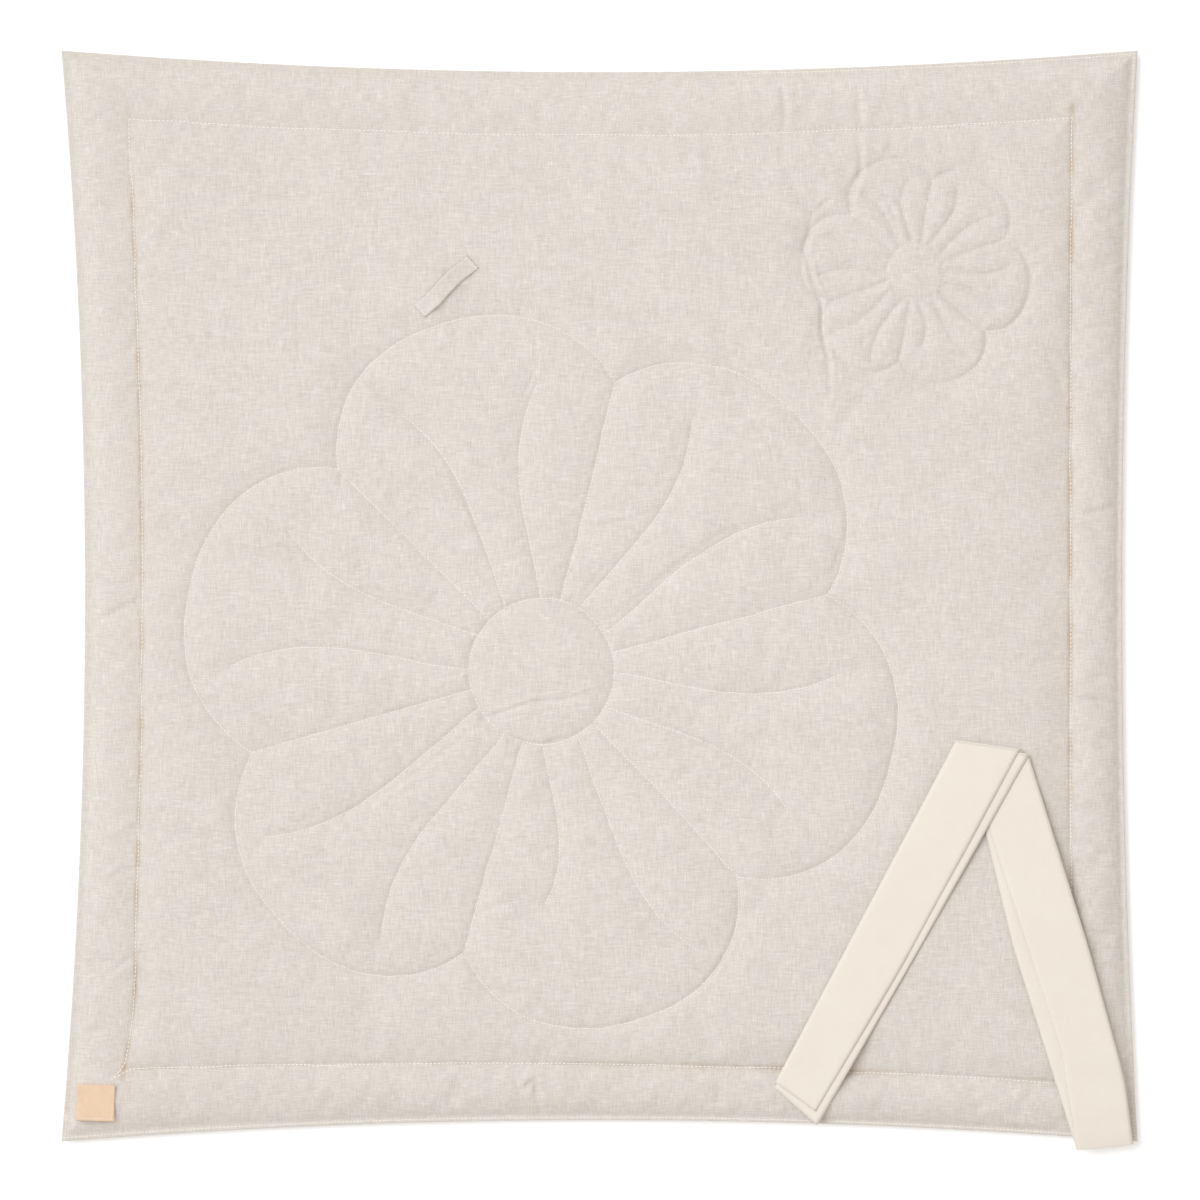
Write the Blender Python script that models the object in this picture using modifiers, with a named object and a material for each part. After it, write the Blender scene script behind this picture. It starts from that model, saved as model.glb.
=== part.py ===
"""Square quilted floor cushion: linen covers, wadding, quilting threads, label and tie strap.

The cushion lies flat on z = 0 with the centre of its underside at the origin.
+X is its right side and +Y its far side. All sizes are in metres.
"""
import math

import bmesh
import bpy
from mathutils import Matrix, Vector

# ---- Covers ----
MAT_WIDTH = 1.100            # corner to corner along X
MAT_LENGTH = 1.115           # corner to corner along Y
COVER_THICKNESS = 0.0012
TOUCH_GAP = 0.0003           # between pieces that touch
SEAM_HEIGHT = 0.0090         # where the two covers meet at the rim
SEAM_GAP = 0.0012            # between the covers there, for the turned-in edges
FIELD_TOP = 0.0260
ROLL_TOP = 0.0210            # crest of the padded border roll
VALLEY_TOP = 0.0160          # upper face along the border stitching
VALLEY_BOTTOM = 0.0030       # lower face along the border stitching
RIM_SHARE = 0.13             # flat sewn rim, as a share of the border's width

# Each side: how far its edge bows in, the border's width at the corners,
# how far the border stitching bows in, and how much it slants from end to end.
EDGE_BOW = {"left": 0.024, "right": 0.016, "near": 0.022, "far": 0.022}
BORDER_WIDTH = {"left": 0.064, "right": 0.067, "near": 0.063, "far": 0.064}
BORDER_BOW = {"left": 0.019, "right": 0.002, "near": 0.016, "far": 0.023}
BORDER_SLANT = {"left": 0.0, "right": 0.0, "near": -0.008, "far": 0.0}
STEPS_PER_SIDE = 8

# ---- Wadding ----
WADDING_LAYERS_GAP = 0.0004
WADDING_CLEARANCE = 0.0012

# ---- Threads ----
THREAD_RADIUS = 0.0004
THREAD_CUT_BACK = 0.0030     # a line of stitches stops this far from the line it meets
TOPSTITCH_INSET = 0.0045
SEAM_THREAD_SHARE = 0.175

# ---- Quilted flowers, drawn for a cushion of the size below ----
PATTERN_SIZE = (1.100, 1.115)
BIG_FLOWER = {"centre": (-0.059, -0.077), "tip": 0.369, "notch": 0.302, "eye": 0.0745, "turn": 15.0}
SMALL_FLOWER = {"centre": (0.323, 0.331), "tip": 0.117, "notch": 0.096, "eye": 0.0290, "turn": 19.5}
PETALS = 6
PETAL_ROUNDNESS = 2.6        # higher makes the petals squarer
PETAL_STEPS = 8
EYE_STEPS = 24
VEIN_SPREAD = 8.5            # degrees between a vein's waist and the petal's middle
VEIN_FLARE = 5.5             # degrees that a vein opens out at both ends
VEIN_END = 0.82              # share of the petal's length that the veins reach
VEIN_STEPS = 6

# ---- Tie strap. Each end of a leg has its left corner, measured from the near right
# corner of the cushion, and the way across to its right corner for each metre of width ----
STRAP_CREASE = {"left": (-0.185, 0.4095), "across": (1.217, -0.233)}
STRAP_FOLD_END = {"left": (-0.063, -0.0075), "across": (0.967, 0.100)}
STRAP_TAIL_END = {"left": (-0.372, 0.0655), "across": (0.733, -0.800)}
STRAP_WIDTH = 0.060
STRAP_CREASE_ROOM = 0.0003    # each leg stops this short of the crease it turns about
STRAP_LEG_THICKNESS = 0.0030  # two layers of cotton
STRAP_CLEARANCE = 0.0014      # clears the threads on the cover
STRAP_STEPS = 16
STRAP_REACH = 0.018           # how far the strap bridges a dip in the cover
STRAP_OVERLAP = 0.105         # the upper leg lies on the lower one up to here
STRAP_RAMP = 0.070            # and comes down to the cover over this length

# ---- Strap loop ----
LOOP_CENTRE = (-0.157, 0.316)
LOOP_ANGLE = 42.6
LOOP_WIDTH = 0.017
LOOP_STRAP_ROOM = 0.004       # spare length inside the loop beside the strap
LOOP_TACK_LENGTH = 0.0055
LOOP_THICKNESS = 0.0014
LOOP_ARCH = 0.0075
LOOP_STEPS = 12

# ---- Leather label, placed from the near left corner ----
LABEL_OFFSET = (0.0355, 0.0400)
LABEL_SIZE = (0.0390, 0.0370)
LABEL_THICKNESS = 0.0014
LABEL_TURN = -2.0
LABEL_STITCH_INSET = 0.0025

HALF = {"left": MAT_WIDTH / 2, "right": MAT_WIDTH / 2, "near": MAT_LENGTH / 2, "far": MAT_LENGTH / 2}
SIGN = {"left": -1, "right": 1, "near": -1, "far": 1}
ACROSS = {"left": "far", "right": "far", "near": "right", "far": "right"}
SIDES = ("left", "right", "near", "far")

RIM_TOP = SEAM_HEIGHT + SEAM_GAP / 2 + COVER_THICKNESS
RIM_BOTTOM = SEAM_HEIGHT - SEAM_GAP / 2 - COVER_THICKNESS

# Height of each cover's outer face against the share of the border, from the
# edge at 0 to the border stitching at 1 and on into the flat field.
FRONT_PROFILE = (
    (0.00, RIM_TOP), (RIM_SHARE, RIM_TOP), (0.25, 0.0175), (0.45, ROLL_TOP), (0.72, ROLL_TOP),
    (0.95, VALLEY_TOP), (1.05, VALLEY_TOP), (1.25, FIELD_TOP - 0.0045), (1.50, FIELD_TOP),
)
BACK_PROFILE = (
    (0.00, RIM_BOTTOM), (RIM_SHARE, RIM_BOTTOM), (0.25, 0.0020), (0.45, 0.0), (0.72, 0.0),
    (0.95, VALLEY_BOTTOM), (1.05, VALLEY_BOTTOM), (1.25, 0.0), (1.50, 0.0),
)
WADDING_START = 0.25


def remove_old_objects():
    for old in list(bpy.data.objects):
        bpy.data.objects.remove(old, do_unlink=True)


def make_collection(name):
    collection = bpy.data.collections.new(name)
    bpy.context.scene.collection.children.link(collection)
    return collection


def make_material(name, colour, roughness):
    material = bpy.data.materials.new(name)
    material.use_nodes = True
    shader = material.node_tree.nodes["Principled BSDF"]
    shader.inputs["Base Color"].default_value = (*colour, 1.0)
    shader.inputs["Roughness"].default_value = roughness
    shader.inputs["Metallic"].default_value = 0.0
    return material


# ---- Where things are on the cushion ----

def fullness(side, along):
    """1 at the middle of a side and 0 at its two corners."""
    reach = min(1.0, abs(along) / HALF[ACROSS[side]])
    return 1.0 - reach * reach


def edge_at(side, along):
    return SIGN[side] * (HALF[side] - EDGE_BOW[side] * fullness(side, along))


def border_at(side, along):
    inset = BORDER_WIDTH[side] + BORDER_BOW[side] * fullness(side, along)
    return SIGN[side] * (HALF[side] - inset) + BORDER_SLANT[side] * along / HALF[ACROSS[side]]


def line_at(side, share, along):
    """Coordinate of the line at a share of the way from a side's edge to its border stitching."""
    edge = edge_at(side, along)
    return edge + share * (border_at(side, along) - edge)


def share_at(x, y):
    """Share of the border at a point: 0 on the edge, 1 on the border stitching."""
    shares = []
    for side in SIDES:
        place, along = (x, y) if side in ("left", "right") else (y, x)
        edge = edge_at(side, along)
        shares.append((place - edge) / (border_at(side, along) - edge))
    return min(shares)


def corner_at(x_side, y_side, share):
    x = y = 0.0
    for _ in range(8):
        x = line_at(x_side, share, y)
        y = line_at(y_side, share, x)
    return x, y


def ring_points(share, steps=STEPS_PER_SIDE):
    """Points once round the cushion at one share of the border, anticlockwise from near left."""
    corners = [corner_at("left", "near", share), corner_at("right", "near", share),
               corner_at("right", "far", share), corner_at("left", "far", share)]
    points = []
    for index, side in enumerate(("near", "right", "far", "left")):
        start, end = corners[index], corners[(index + 1) % 4]
        for step in range(steps):
            x = start[0] + (end[0] - start[0]) * step / steps
            y = start[1] + (end[1] - start[1]) * step / steps
            if step and side in ("near", "far"):
                y = line_at(side, share, x)
            elif step:
                x = line_at(side, share, y)
            points.append((x, y))
    return points


def height_on(profile, share):
    for (share_a, height_a), (share_b, height_b) in zip(profile, profile[1:]):
        if share <= share_b:
            mix = max(0.0, (share - share_a) / (share_b - share_a))
            return height_a + (height_b - height_a) * mix
    return profile[-1][1]


def cover_top(x, y):
    return height_on(FRONT_PROFILE, share_at(x, y))


def on_field(x, y):
    """The quilting pattern stretches with the cushion."""
    return x * MAT_WIDTH / PATTERN_SIZE[0], y * MAT_LENGTH / PATTERN_SIZE[1]


# ---- Ways of making a piece ----

def add_mesh_object(name, mesh_builder, collection, material):
    mesh = bpy.data.meshes.new(name)
    mesh_builder.to_mesh(mesh)
    mesh_builder.free()
    piece = bpy.data.objects.new(name, mesh)
    piece.data.materials.append(material)
    collection.objects.link(piece)
    return piece


def carried_profile(rows):
    """A profile of (share, height) rows carried once round the cushion, as an open surface."""
    around = 4 * STEPS_PER_SIDE
    rings = [[(x, y, height) for x, y in ring_points(share)] for share, height in rows]
    surface = bmesh.new()
    bmesh.ops.create_grid(surface, x_segments=len(rows) - 1, y_segments=around, size=1.0)
    for vertex in surface.verts:
        row = round((vertex.co.x + 1) / 2 * (len(rows) - 1))
        step = round((vertex.co.y + 1) / 2 * around) % around
        vertex.co = Vector(rings[row][step])
    bmesh.ops.remove_doubles(surface, verts=surface.verts, dist=0.00001)
    return surface


def cap_ring(surface, height, facing):
    """Close the open ring that lies at one height in the field with a flat face."""
    ring = [edge for edge in surface.edges if edge.is_boundary
            and share_at(*edge.verts[0].co.xy) > 1.2 and abs(edge.verts[0].co.z - height) < 0.00001]
    cap = bmesh.ops.contextual_create(surface, geom=ring)["faces"][0]
    bmesh.ops.recalc_face_normals(surface, faces=surface.faces)
    surface.normal_update()
    if cap.normal.z * facing < 0:
        bmesh.ops.reverse_faces(surface, faces=surface.faces)


def make_cover(name, profile, facing, collection, material):
    surface = carried_profile(profile)
    cap_ring(surface, profile[-1][1], facing)
    cover = add_mesh_object(name, surface, collection, material)
    shell = cover.modifiers.new("cloth", "SOLIDIFY")
    shell.thickness = COVER_THICKNESS
    shell.offset = -1.0
    shell.use_even_offset = True
    return cover


def wadding_heights(share, level):
    """Height in the stack of wadding: level 0 is its underside and 1 its top."""
    inset = COVER_THICKNESS + WADDING_CLEARANCE
    low = height_on(BACK_PROFILE, share) + inset
    high = height_on(FRONT_PROFILE, share) - inset
    return low + (high - low) * level


def make_wadding(name, low_level, high_level, collection, material):
    shares = [share for share, _ in FRONT_PROFILE if share >= WADDING_START]
    low_gap = WADDING_LAYERS_GAP / 2 if low_level > 0 else 0.0
    high_gap = WADDING_LAYERS_GAP / 2 if high_level < 1 else 0.0
    under = [(share, wadding_heights(share, low_level) + low_gap) for share in reversed(shares)]
    over = [(share, wadding_heights(share, high_level) - high_gap) for share in shares]
    surface = carried_profile(under + over)
    cap_ring(surface, under[0][1], -1)
    cap_ring(surface, over[-1][1], 1)
    return add_mesh_object(name, surface, collection, material)


def make_thread(name, points, collection, material, closed=False):
    curve = bpy.data.curves.new(name, "CURVE")
    curve.dimensions = "3D"
    curve.bevel_depth = THREAD_RADIUS
    curve.bevel_resolution = 1
    curve.use_fill_caps = not closed
    spline = curve.splines.new("POLY")
    spline.points.add(len(points) - 1)
    for point, place in zip(spline.points, points):
        point.co = (*place, 1.0)
    spline.use_cyclic_u = closed
    thread = bpy.data.objects.new(name, curve)
    thread.data.materials.append(material)
    collection.objects.link(thread)
    return thread


def make_strip(name, left, right, heights, thickness, collection, material):
    """A flat strip of cloth between two edges, with a height for each step along it."""
    steps = len(heights) - 1
    surface = bmesh.new()
    bmesh.ops.create_grid(surface, x_segments=1, y_segments=steps, size=1.0)
    for vertex in surface.verts:
        step = round((vertex.co.y + 1) / 2 * steps)
        edge = right if vertex.co.x > 0 else left
        place = Vector(edge[0]).lerp(Vector(edge[1]), step / steps)
        vertex.co = (place.x, place.y, heights[step])
    surface.normal_update()
    if sum(face.normal.z for face in surface.faces) < 0:
        bmesh.ops.reverse_faces(surface, faces=surface.faces)
    strip = add_mesh_object(name, surface, collection, material)
    cloth = strip.modifiers.new("cloth", "SOLIDIFY")
    cloth.thickness = thickness
    cloth.offset = 1.0
    cloth.use_even_offset = True
    return strip


# ---- The pieces ----

def make_edge_threads(collection, material):
    top_share = TOPSTITCH_INSET / BORDER_WIDTH["near"]
    lift = TOUCH_GAP + THREAD_RADIUS
    top = [(x, y, RIM_TOP + lift) for x, y in ring_points(top_share)]
    make_thread("edge_topstitch_thread", top, collection, material, closed=True)
    inner = [(x, y, SEAM_HEIGHT) for x, y in ring_points(SEAM_THREAD_SHARE)]
    make_thread("edge_seam_thread", inner, collection, material, closed=True)
    border = [(x, y, VALLEY_TOP + lift) for x, y in ring_points(1.0)]
    make_thread("border_stitch_thread", border, collection, material, closed=True)


def petal_radius(flower, offset):
    """Radius of the petals' outline at an angle from a petal's middle, in degrees."""
    half_petal = 180.0 / PETALS
    bulge = 1.0 - abs(offset / half_petal) ** PETAL_ROUNDNESS
    return flower["notch"] + (flower["tip"] - flower["notch"]) * bulge


def on_flower(flower, radius, bearing):
    angle = math.radians(bearing)
    x = flower["centre"][0] + radius * math.cos(angle)
    y = flower["centre"][1] + radius * math.sin(angle)
    return (*on_field(x, y), FIELD_TOP + TOUCH_GAP + THREAD_RADIUS)


def vein_points(flower, middle, side):
    start = flower["eye"] + THREAD_CUT_BACK
    end = flower["tip"] * VEIN_END
    points = []
    for step in range(VEIN_STEPS):
        share = step / (VEIN_STEPS - 1)
        offset = VEIN_SPREAD + VEIN_FLARE * (2.0 * share - 1.0) ** 2
        points.append(on_flower(flower, start + (end - start) * share, middle + side * offset))
    return points


def make_flower(name, flower, collection, material):
    petal_angle = 360.0 / PETALS
    eye = [on_flower(flower, flower["eye"], 360.0 * step / EYE_STEPS) for step in range(EYE_STEPS)]
    make_thread(name + "_eye_thread", eye, collection, material, closed=True)

    outline = []
    for step in range(PETALS * PETAL_STEPS):
        offset = (step % PETAL_STEPS) / PETAL_STEPS * petal_angle - petal_angle / 2
        bearing = flower["turn"] + step / PETAL_STEPS * petal_angle
        outline.append(on_flower(flower, petal_radius(flower, offset), bearing))
    make_thread(name + "_petals_thread", outline, collection, material, closed=True)

    for petal in range(PETALS):
        notch = flower["turn"] + petal * petal_angle
        ends = (flower["eye"] + THREAD_CUT_BACK, flower["notch"] - THREAD_CUT_BACK)
        divider = [on_flower(flower, radius, notch) for radius in ends]
        make_thread(f"{name}_divider_{petal + 1}_thread", divider, collection, material)
        for label, side in (("right", -1), ("left", 1)):
            vein = vein_points(flower, notch + petal_angle / 2, side)
            make_thread(f"{name}_vein_{petal + 1}_{label}_thread", vein, collection, material)


def loop_frame():
    """Centre of the strap loop and the directions along and across it."""
    centre = Vector(on_field(*LOOP_CENTRE))
    angle = math.radians(LOOP_ANGLE)
    return centre, Vector((math.cos(angle), math.sin(angle))), Vector((-math.sin(angle), math.cos(angle)))


def make_loop(collection, cloth, thread):
    centre, along, across = loop_frame()
    span = STRAP_WIDTH + LOOP_STRAP_ROOM
    length = span + 2 * LOOP_TACK_LENGTH
    flat = FIELD_TOP + TOUCH_GAP
    heights = []
    for step in range(LOOP_STEPS + 1):
        place = (step / LOOP_STEPS - 0.5) * length
        rise = max(0.0, 1.0 - (2 * place / span) ** 4)
        heights.append(flat + LOOP_ARCH * rise)
    ends = (centre - along * length / 2, centre + along * length / 2)
    left = [end + across * LOOP_WIDTH / 2 for end in ends]
    right = [end - across * LOOP_WIDTH / 2 for end in ends]
    make_strip("strap_loop", left, right, heights, LOOP_THICKNESS, collection, cloth)

    lift = flat + LOOP_THICKNESS + TOUCH_GAP + THREAD_RADIUS
    half_tack = LOOP_WIDTH / 2 - THREAD_CUT_BACK / 2
    for index, side in enumerate((-1, 1)):
        middle = centre + along * side * (length - LOOP_TACK_LENGTH / 2) / 2
        tack = [(*(middle + across * reach), lift) for reach in (-half_tack, half_tack)]
        make_thread(f"loop_tack_{index + 1}_thread", tack, collection, thread)


def make_label(collection, leather, thread):
    centre = Vector((-HALF["left"] + LABEL_OFFSET[0], -HALF["near"] + LABEL_OFFSET[1]))
    turn = Matrix.Rotation(math.radians(LABEL_TURN), 4, "Z")
    plate = bmesh.new()
    bmesh.ops.create_cube(plate, size=1.0)
    bmesh.ops.scale(plate, vec=(*LABEL_SIZE, LABEL_THICKNESS), verts=plate.verts)
    bmesh.ops.transform(plate, matrix=turn, verts=plate.verts)
    middle_height = ROLL_TOP + TOUCH_GAP + LABEL_THICKNESS / 2
    bmesh.ops.translate(plate, vec=(*centre, middle_height), verts=plate.verts)
    label = add_mesh_object("leather_label", plate, collection, leather)
    rounding = label.modifiers.new("rounded edges", "BEVEL")
    rounding.width = LABEL_THICKNESS / 4
    rounding.segments = 1
    rounding.limit_method = "ANGLE"

    lift = middle_height + LABEL_THICKNESS / 2 + TOUCH_GAP + THREAD_RADIUS
    reach_x = LABEL_SIZE[0] / 2 - LABEL_STITCH_INSET
    reach_y = LABEL_SIZE[1] / 2 - LABEL_STITCH_INSET
    ring = []
    for side_x, side_y in ((-1, -1), (1, -1), (1, 1), (-1, 1)):
        corner = turn @ Vector((side_x * reach_x, side_y * reach_y, 0.0))
        ring.append((centre.x + corner.x, centre.y + corner.y, lift))
    make_thread("label_stitch_thread", ring, collection, thread, closed=True)


def strap_end(end):
    """Left and right corners of one end of a strap leg."""
    left = Vector((HALF["right"], -HALF["near"])) + Vector(end["left"])
    return [left, left + Vector(end["across"]) * STRAP_WIDTH]


def resting_height(place, across):
    """Height at which a strap lies on the cover, bridging the dips under its width."""
    heights = []
    for sideways in (-0.5, -0.25, 0.0, 0.25, 0.5):
        for reach in (-STRAP_REACH, 0.0, STRAP_REACH):
            spot = place + across * STRAP_WIDTH * sideways + across.orthogonal() * reach
            heights.append(cover_top(*spot))
    return max(heights) + STRAP_CLEARANCE


def leg_heights(start, end, stacked):
    """Heights of a strap leg's underside, lifted onto the other leg beside the crease."""
    middle_start = (start[0] + start[1]) / 2
    middle_end = (end[0] + end[1]) / 2
    length = (middle_end - middle_start).length
    across = (end[1] - end[0]).normalized()
    heights = []
    for step in range(STRAP_STEPS + 1):
        share = step / STRAP_STEPS
        lift = 0.0
        if stacked:
            down = (share * length - STRAP_OVERLAP) / STRAP_RAMP
            lift = (STRAP_LEG_THICKNESS + TOUCH_GAP) * (1.0 - min(1.0, max(0.0, down)))
        heights.append(resting_height(middle_start.lerp(middle_end, share), across) + lift)
    return heights


def make_strap(collection, cotton):
    crease = strap_end(STRAP_CREASE)
    for name, leg_end, stacked in (("strap_lower_leg", STRAP_FOLD_END, False),
                                    ("strap_upper_leg", STRAP_TAIL_END, True)):
        end = strap_end(leg_end)
        start = [corner + (far - corner).normalized() * STRAP_CREASE_ROOM
                 for corner, far in zip(crease, end)]
        heights = leg_heights(start, end, stacked)
        make_strip(name, (start[0], end[0]), (start[1], end[1]), heights,
                   STRAP_LEG_THICKNESS, collection, cotton)


def make_cushion():
    remove_old_objects()
    pieces = make_collection("floor_cushion")
    linen = make_material("linen", (0.74, 0.68, 0.62), 0.90)
    backing = make_material("linen_backing", (0.71, 0.65, 0.59), 0.90)
    wadding = make_material("wadding", (0.90, 0.89, 0.86), 0.95)
    thread = make_material("thread", (0.86, 0.83, 0.76), 0.60)
    leather = make_material("leather", (0.79, 0.58, 0.41), 0.55)
    cotton = make_material("cotton", (0.87, 0.80, 0.72), 0.88)

    make_cover("front_cover", FRONT_PROFILE, 1, pieces, linen)
    make_cover("back_cover", BACK_PROFILE, -1, pieces, backing)
    make_wadding("lower_wadding", 0.0, 0.5, pieces, wadding)
    make_wadding("upper_wadding", 0.5, 1.0, pieces, wadding)
    make_edge_threads(pieces, thread)
    make_flower("big_flower", BIG_FLOWER, pieces, thread)
    make_flower("small_flower", SMALL_FLOWER, pieces, thread)
    make_loop(pieces, linen, thread)
    make_label(pieces, leather, thread)
    make_strap(pieces, cotton)


make_cushion()
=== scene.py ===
"""Looks of the quilted floor cushion: linen covers, wadding, stitching, loop, label and strap.

Everything is in metres in the cushion's own frame: it lies on z = 0 with its middle at the
origin, +X to its right side and +Y to its far side.
"""
import math

import bmesh
import bpy
import numpy as np
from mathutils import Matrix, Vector
from mathutils.kdtree import KDTree


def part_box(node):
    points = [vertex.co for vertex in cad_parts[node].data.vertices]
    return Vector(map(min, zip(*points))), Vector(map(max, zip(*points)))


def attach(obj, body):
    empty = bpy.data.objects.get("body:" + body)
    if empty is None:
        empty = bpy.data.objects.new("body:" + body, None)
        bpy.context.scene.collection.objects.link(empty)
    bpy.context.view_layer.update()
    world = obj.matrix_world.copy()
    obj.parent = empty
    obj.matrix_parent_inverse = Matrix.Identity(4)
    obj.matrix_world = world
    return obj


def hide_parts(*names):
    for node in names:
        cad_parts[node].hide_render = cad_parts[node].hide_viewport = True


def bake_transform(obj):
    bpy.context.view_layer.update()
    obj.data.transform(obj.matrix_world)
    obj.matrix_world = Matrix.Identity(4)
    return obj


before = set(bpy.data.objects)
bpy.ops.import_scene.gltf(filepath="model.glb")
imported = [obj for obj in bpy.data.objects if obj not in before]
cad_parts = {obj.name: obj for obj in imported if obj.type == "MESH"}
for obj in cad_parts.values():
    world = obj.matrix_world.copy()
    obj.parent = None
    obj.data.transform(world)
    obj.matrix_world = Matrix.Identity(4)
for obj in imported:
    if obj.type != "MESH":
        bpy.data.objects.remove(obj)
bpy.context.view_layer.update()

# ---- Outline of the cushion, as on the frame ----
COVER_LOW, COVER_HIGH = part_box("front_cover")
HALF_X = (COVER_HIGH[0] - COVER_LOW[0]) / 2
HALF_Y = (COVER_HIGH[1] - COVER_LOW[1]) / 2
FIELD_TOP = COVER_HIGH[2]
SIDES = ("left", "right", "near", "far")
HALF = {"left": HALF_X, "right": HALF_X, "near": HALF_Y, "far": HALF_Y}
SIGN = {"left": -1, "right": 1, "near": -1, "far": 1}
EDGE_BOW = {"left": 0.024, "right": 0.016, "near": 0.022, "far": 0.022}
BORDER_WIDTH = {"left": 0.064, "right": 0.067, "near": 0.063, "far": 0.064}
BORDER_BOW = {"left": 0.019, "right": 0.002, "near": 0.016, "far": 0.023}
BORDER_SLANT = {"left": 0.0, "right": 0.0, "near": -0.008, "far": 0.0}
# Where the left border stitching strays inwards: how far, its middle and its reach.
LEFT_BORDER_STRAYS = ((0.003, -0.40, 0.05), (-0.005, -0.50, 0.04))
CORNER_ROUNDS = 8            # rounds of working x from y and back, which settle a corner

# ---- Heights ----
SEAM_Z = 0.0090
RIM_Z = 0.0104
RIM_SHARE = 0.10
ROLL_TOP = 0.0212
VALLEY_TOP = 0.0180
FAR_VALLEY_RISE = 0.0018     # the far border stitching is drawn in less
NEAR_VALLEY_DROP = 0.0026    # and the near and right border stitching more
GATHER_HEIGHT = 0.00080      # puckers beside the border stitching
# How the padding rises from the border stitching: each share of the rise and its reach.
FIELD_RISE = ((0.34, 0.0036), (0.34, 0.012), (0.32, 0.050))
SHARE_SPAN = 0.061           # the border's usual width, for distances inside the field
SEAM_SPAN = 0.064            # and for distances close to the border stitching
FIELD_ROOM = 0.0006          # left for the padding's unevenness
VALLEY_BOTTOM = 0.0034
LINEN = 0.0008               # thickness of the cover cloth
TOPSTITCH_SHARE = 0.050
SEAM_SHARE = 0.175

# ---- Quilting ----
BIG_FLOWER = {"centre": (-0.059, -0.077), "tip": 0.369, "notch": 0.302, "eye": 0.0745, "turn": 15.0,
              "depth": 0.0034, "eye depth": 1.0}
SMALL_FLOWER = {"centre": (0.323, 0.331), "tip": 0.117, "notch": 0.096, "eye": 0.0290, "turn": 19.5,
                "depth": 0.0033, "eye depth": 0.6}
VEIN_GAP = 0.0015            # between the end of a line and the line that it runs towards
RUN_SPACING = 0.001          # between the points of a line of stitching
PETALS = 6
PETAL_ROUNDNESS = 2.6
VEIN_SPREAD = 8.5
VEIN_FLARE = 5.5
# How far each petal's right and left veins reach, as a share of the petal, petal 1 first.
VEIN_REACH = ((0.82, 0.81), (0.79, 0.82), (0.80, 0.86), (0.89, 0.86), (0.64, 0.88), (0.77, 0.81))
# Where the sewing strays at the notch before each petal: (degrees, metres outwards), petal 1 first.
BIG_NOTCH_DRIFT = ((0.0, 0.0), (0.7, 0.001), (0.2, -0.009), (0.7, 0.004), (-0.4, -0.005), (-1.4, -0.012))
SMALL_NOTCH_DRIFT = ((0.0, 0.0), (0.0, 0.0), (-1.0, -0.009), (0.0, -0.002), (0.0, -0.003), (0.0, -0.003))
CORNER_OVERSHOOT = (-0.012, -0.010)
OVERSHOOT_REACH = 0.0032
STITCH_PITCH = 0.0038
STITCH_LENGTH = 0.0030
STITCH_THICKNESS = 0.00085

# ---- Leather label ----
LABEL_LOW, LABEL_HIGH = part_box("leather_label")
LABEL_SIZE = (0.0390, 0.0370)
LABEL_THICKNESS = 0.0014
LABEL_TURN = math.radians(-2.0)
LABEL_CENTRE = ((LABEL_LOW[0] + LABEL_HIGH[0]) / 2, (LABEL_LOW[1] + LABEL_HIGH[1]) / 2)
LABEL_STITCH_INSET = 0.0025
LABEL_STEPS = 40             # faces along and across the label
LABEL_BOTTOM = LABEL_HIGH[2] - LABEL_THICKNESS
LABEL_CLEARANCE = 0.0002
LABEL_PRESS_REACH = 0.007    # how far beyond the label the cover is pressed down

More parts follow.
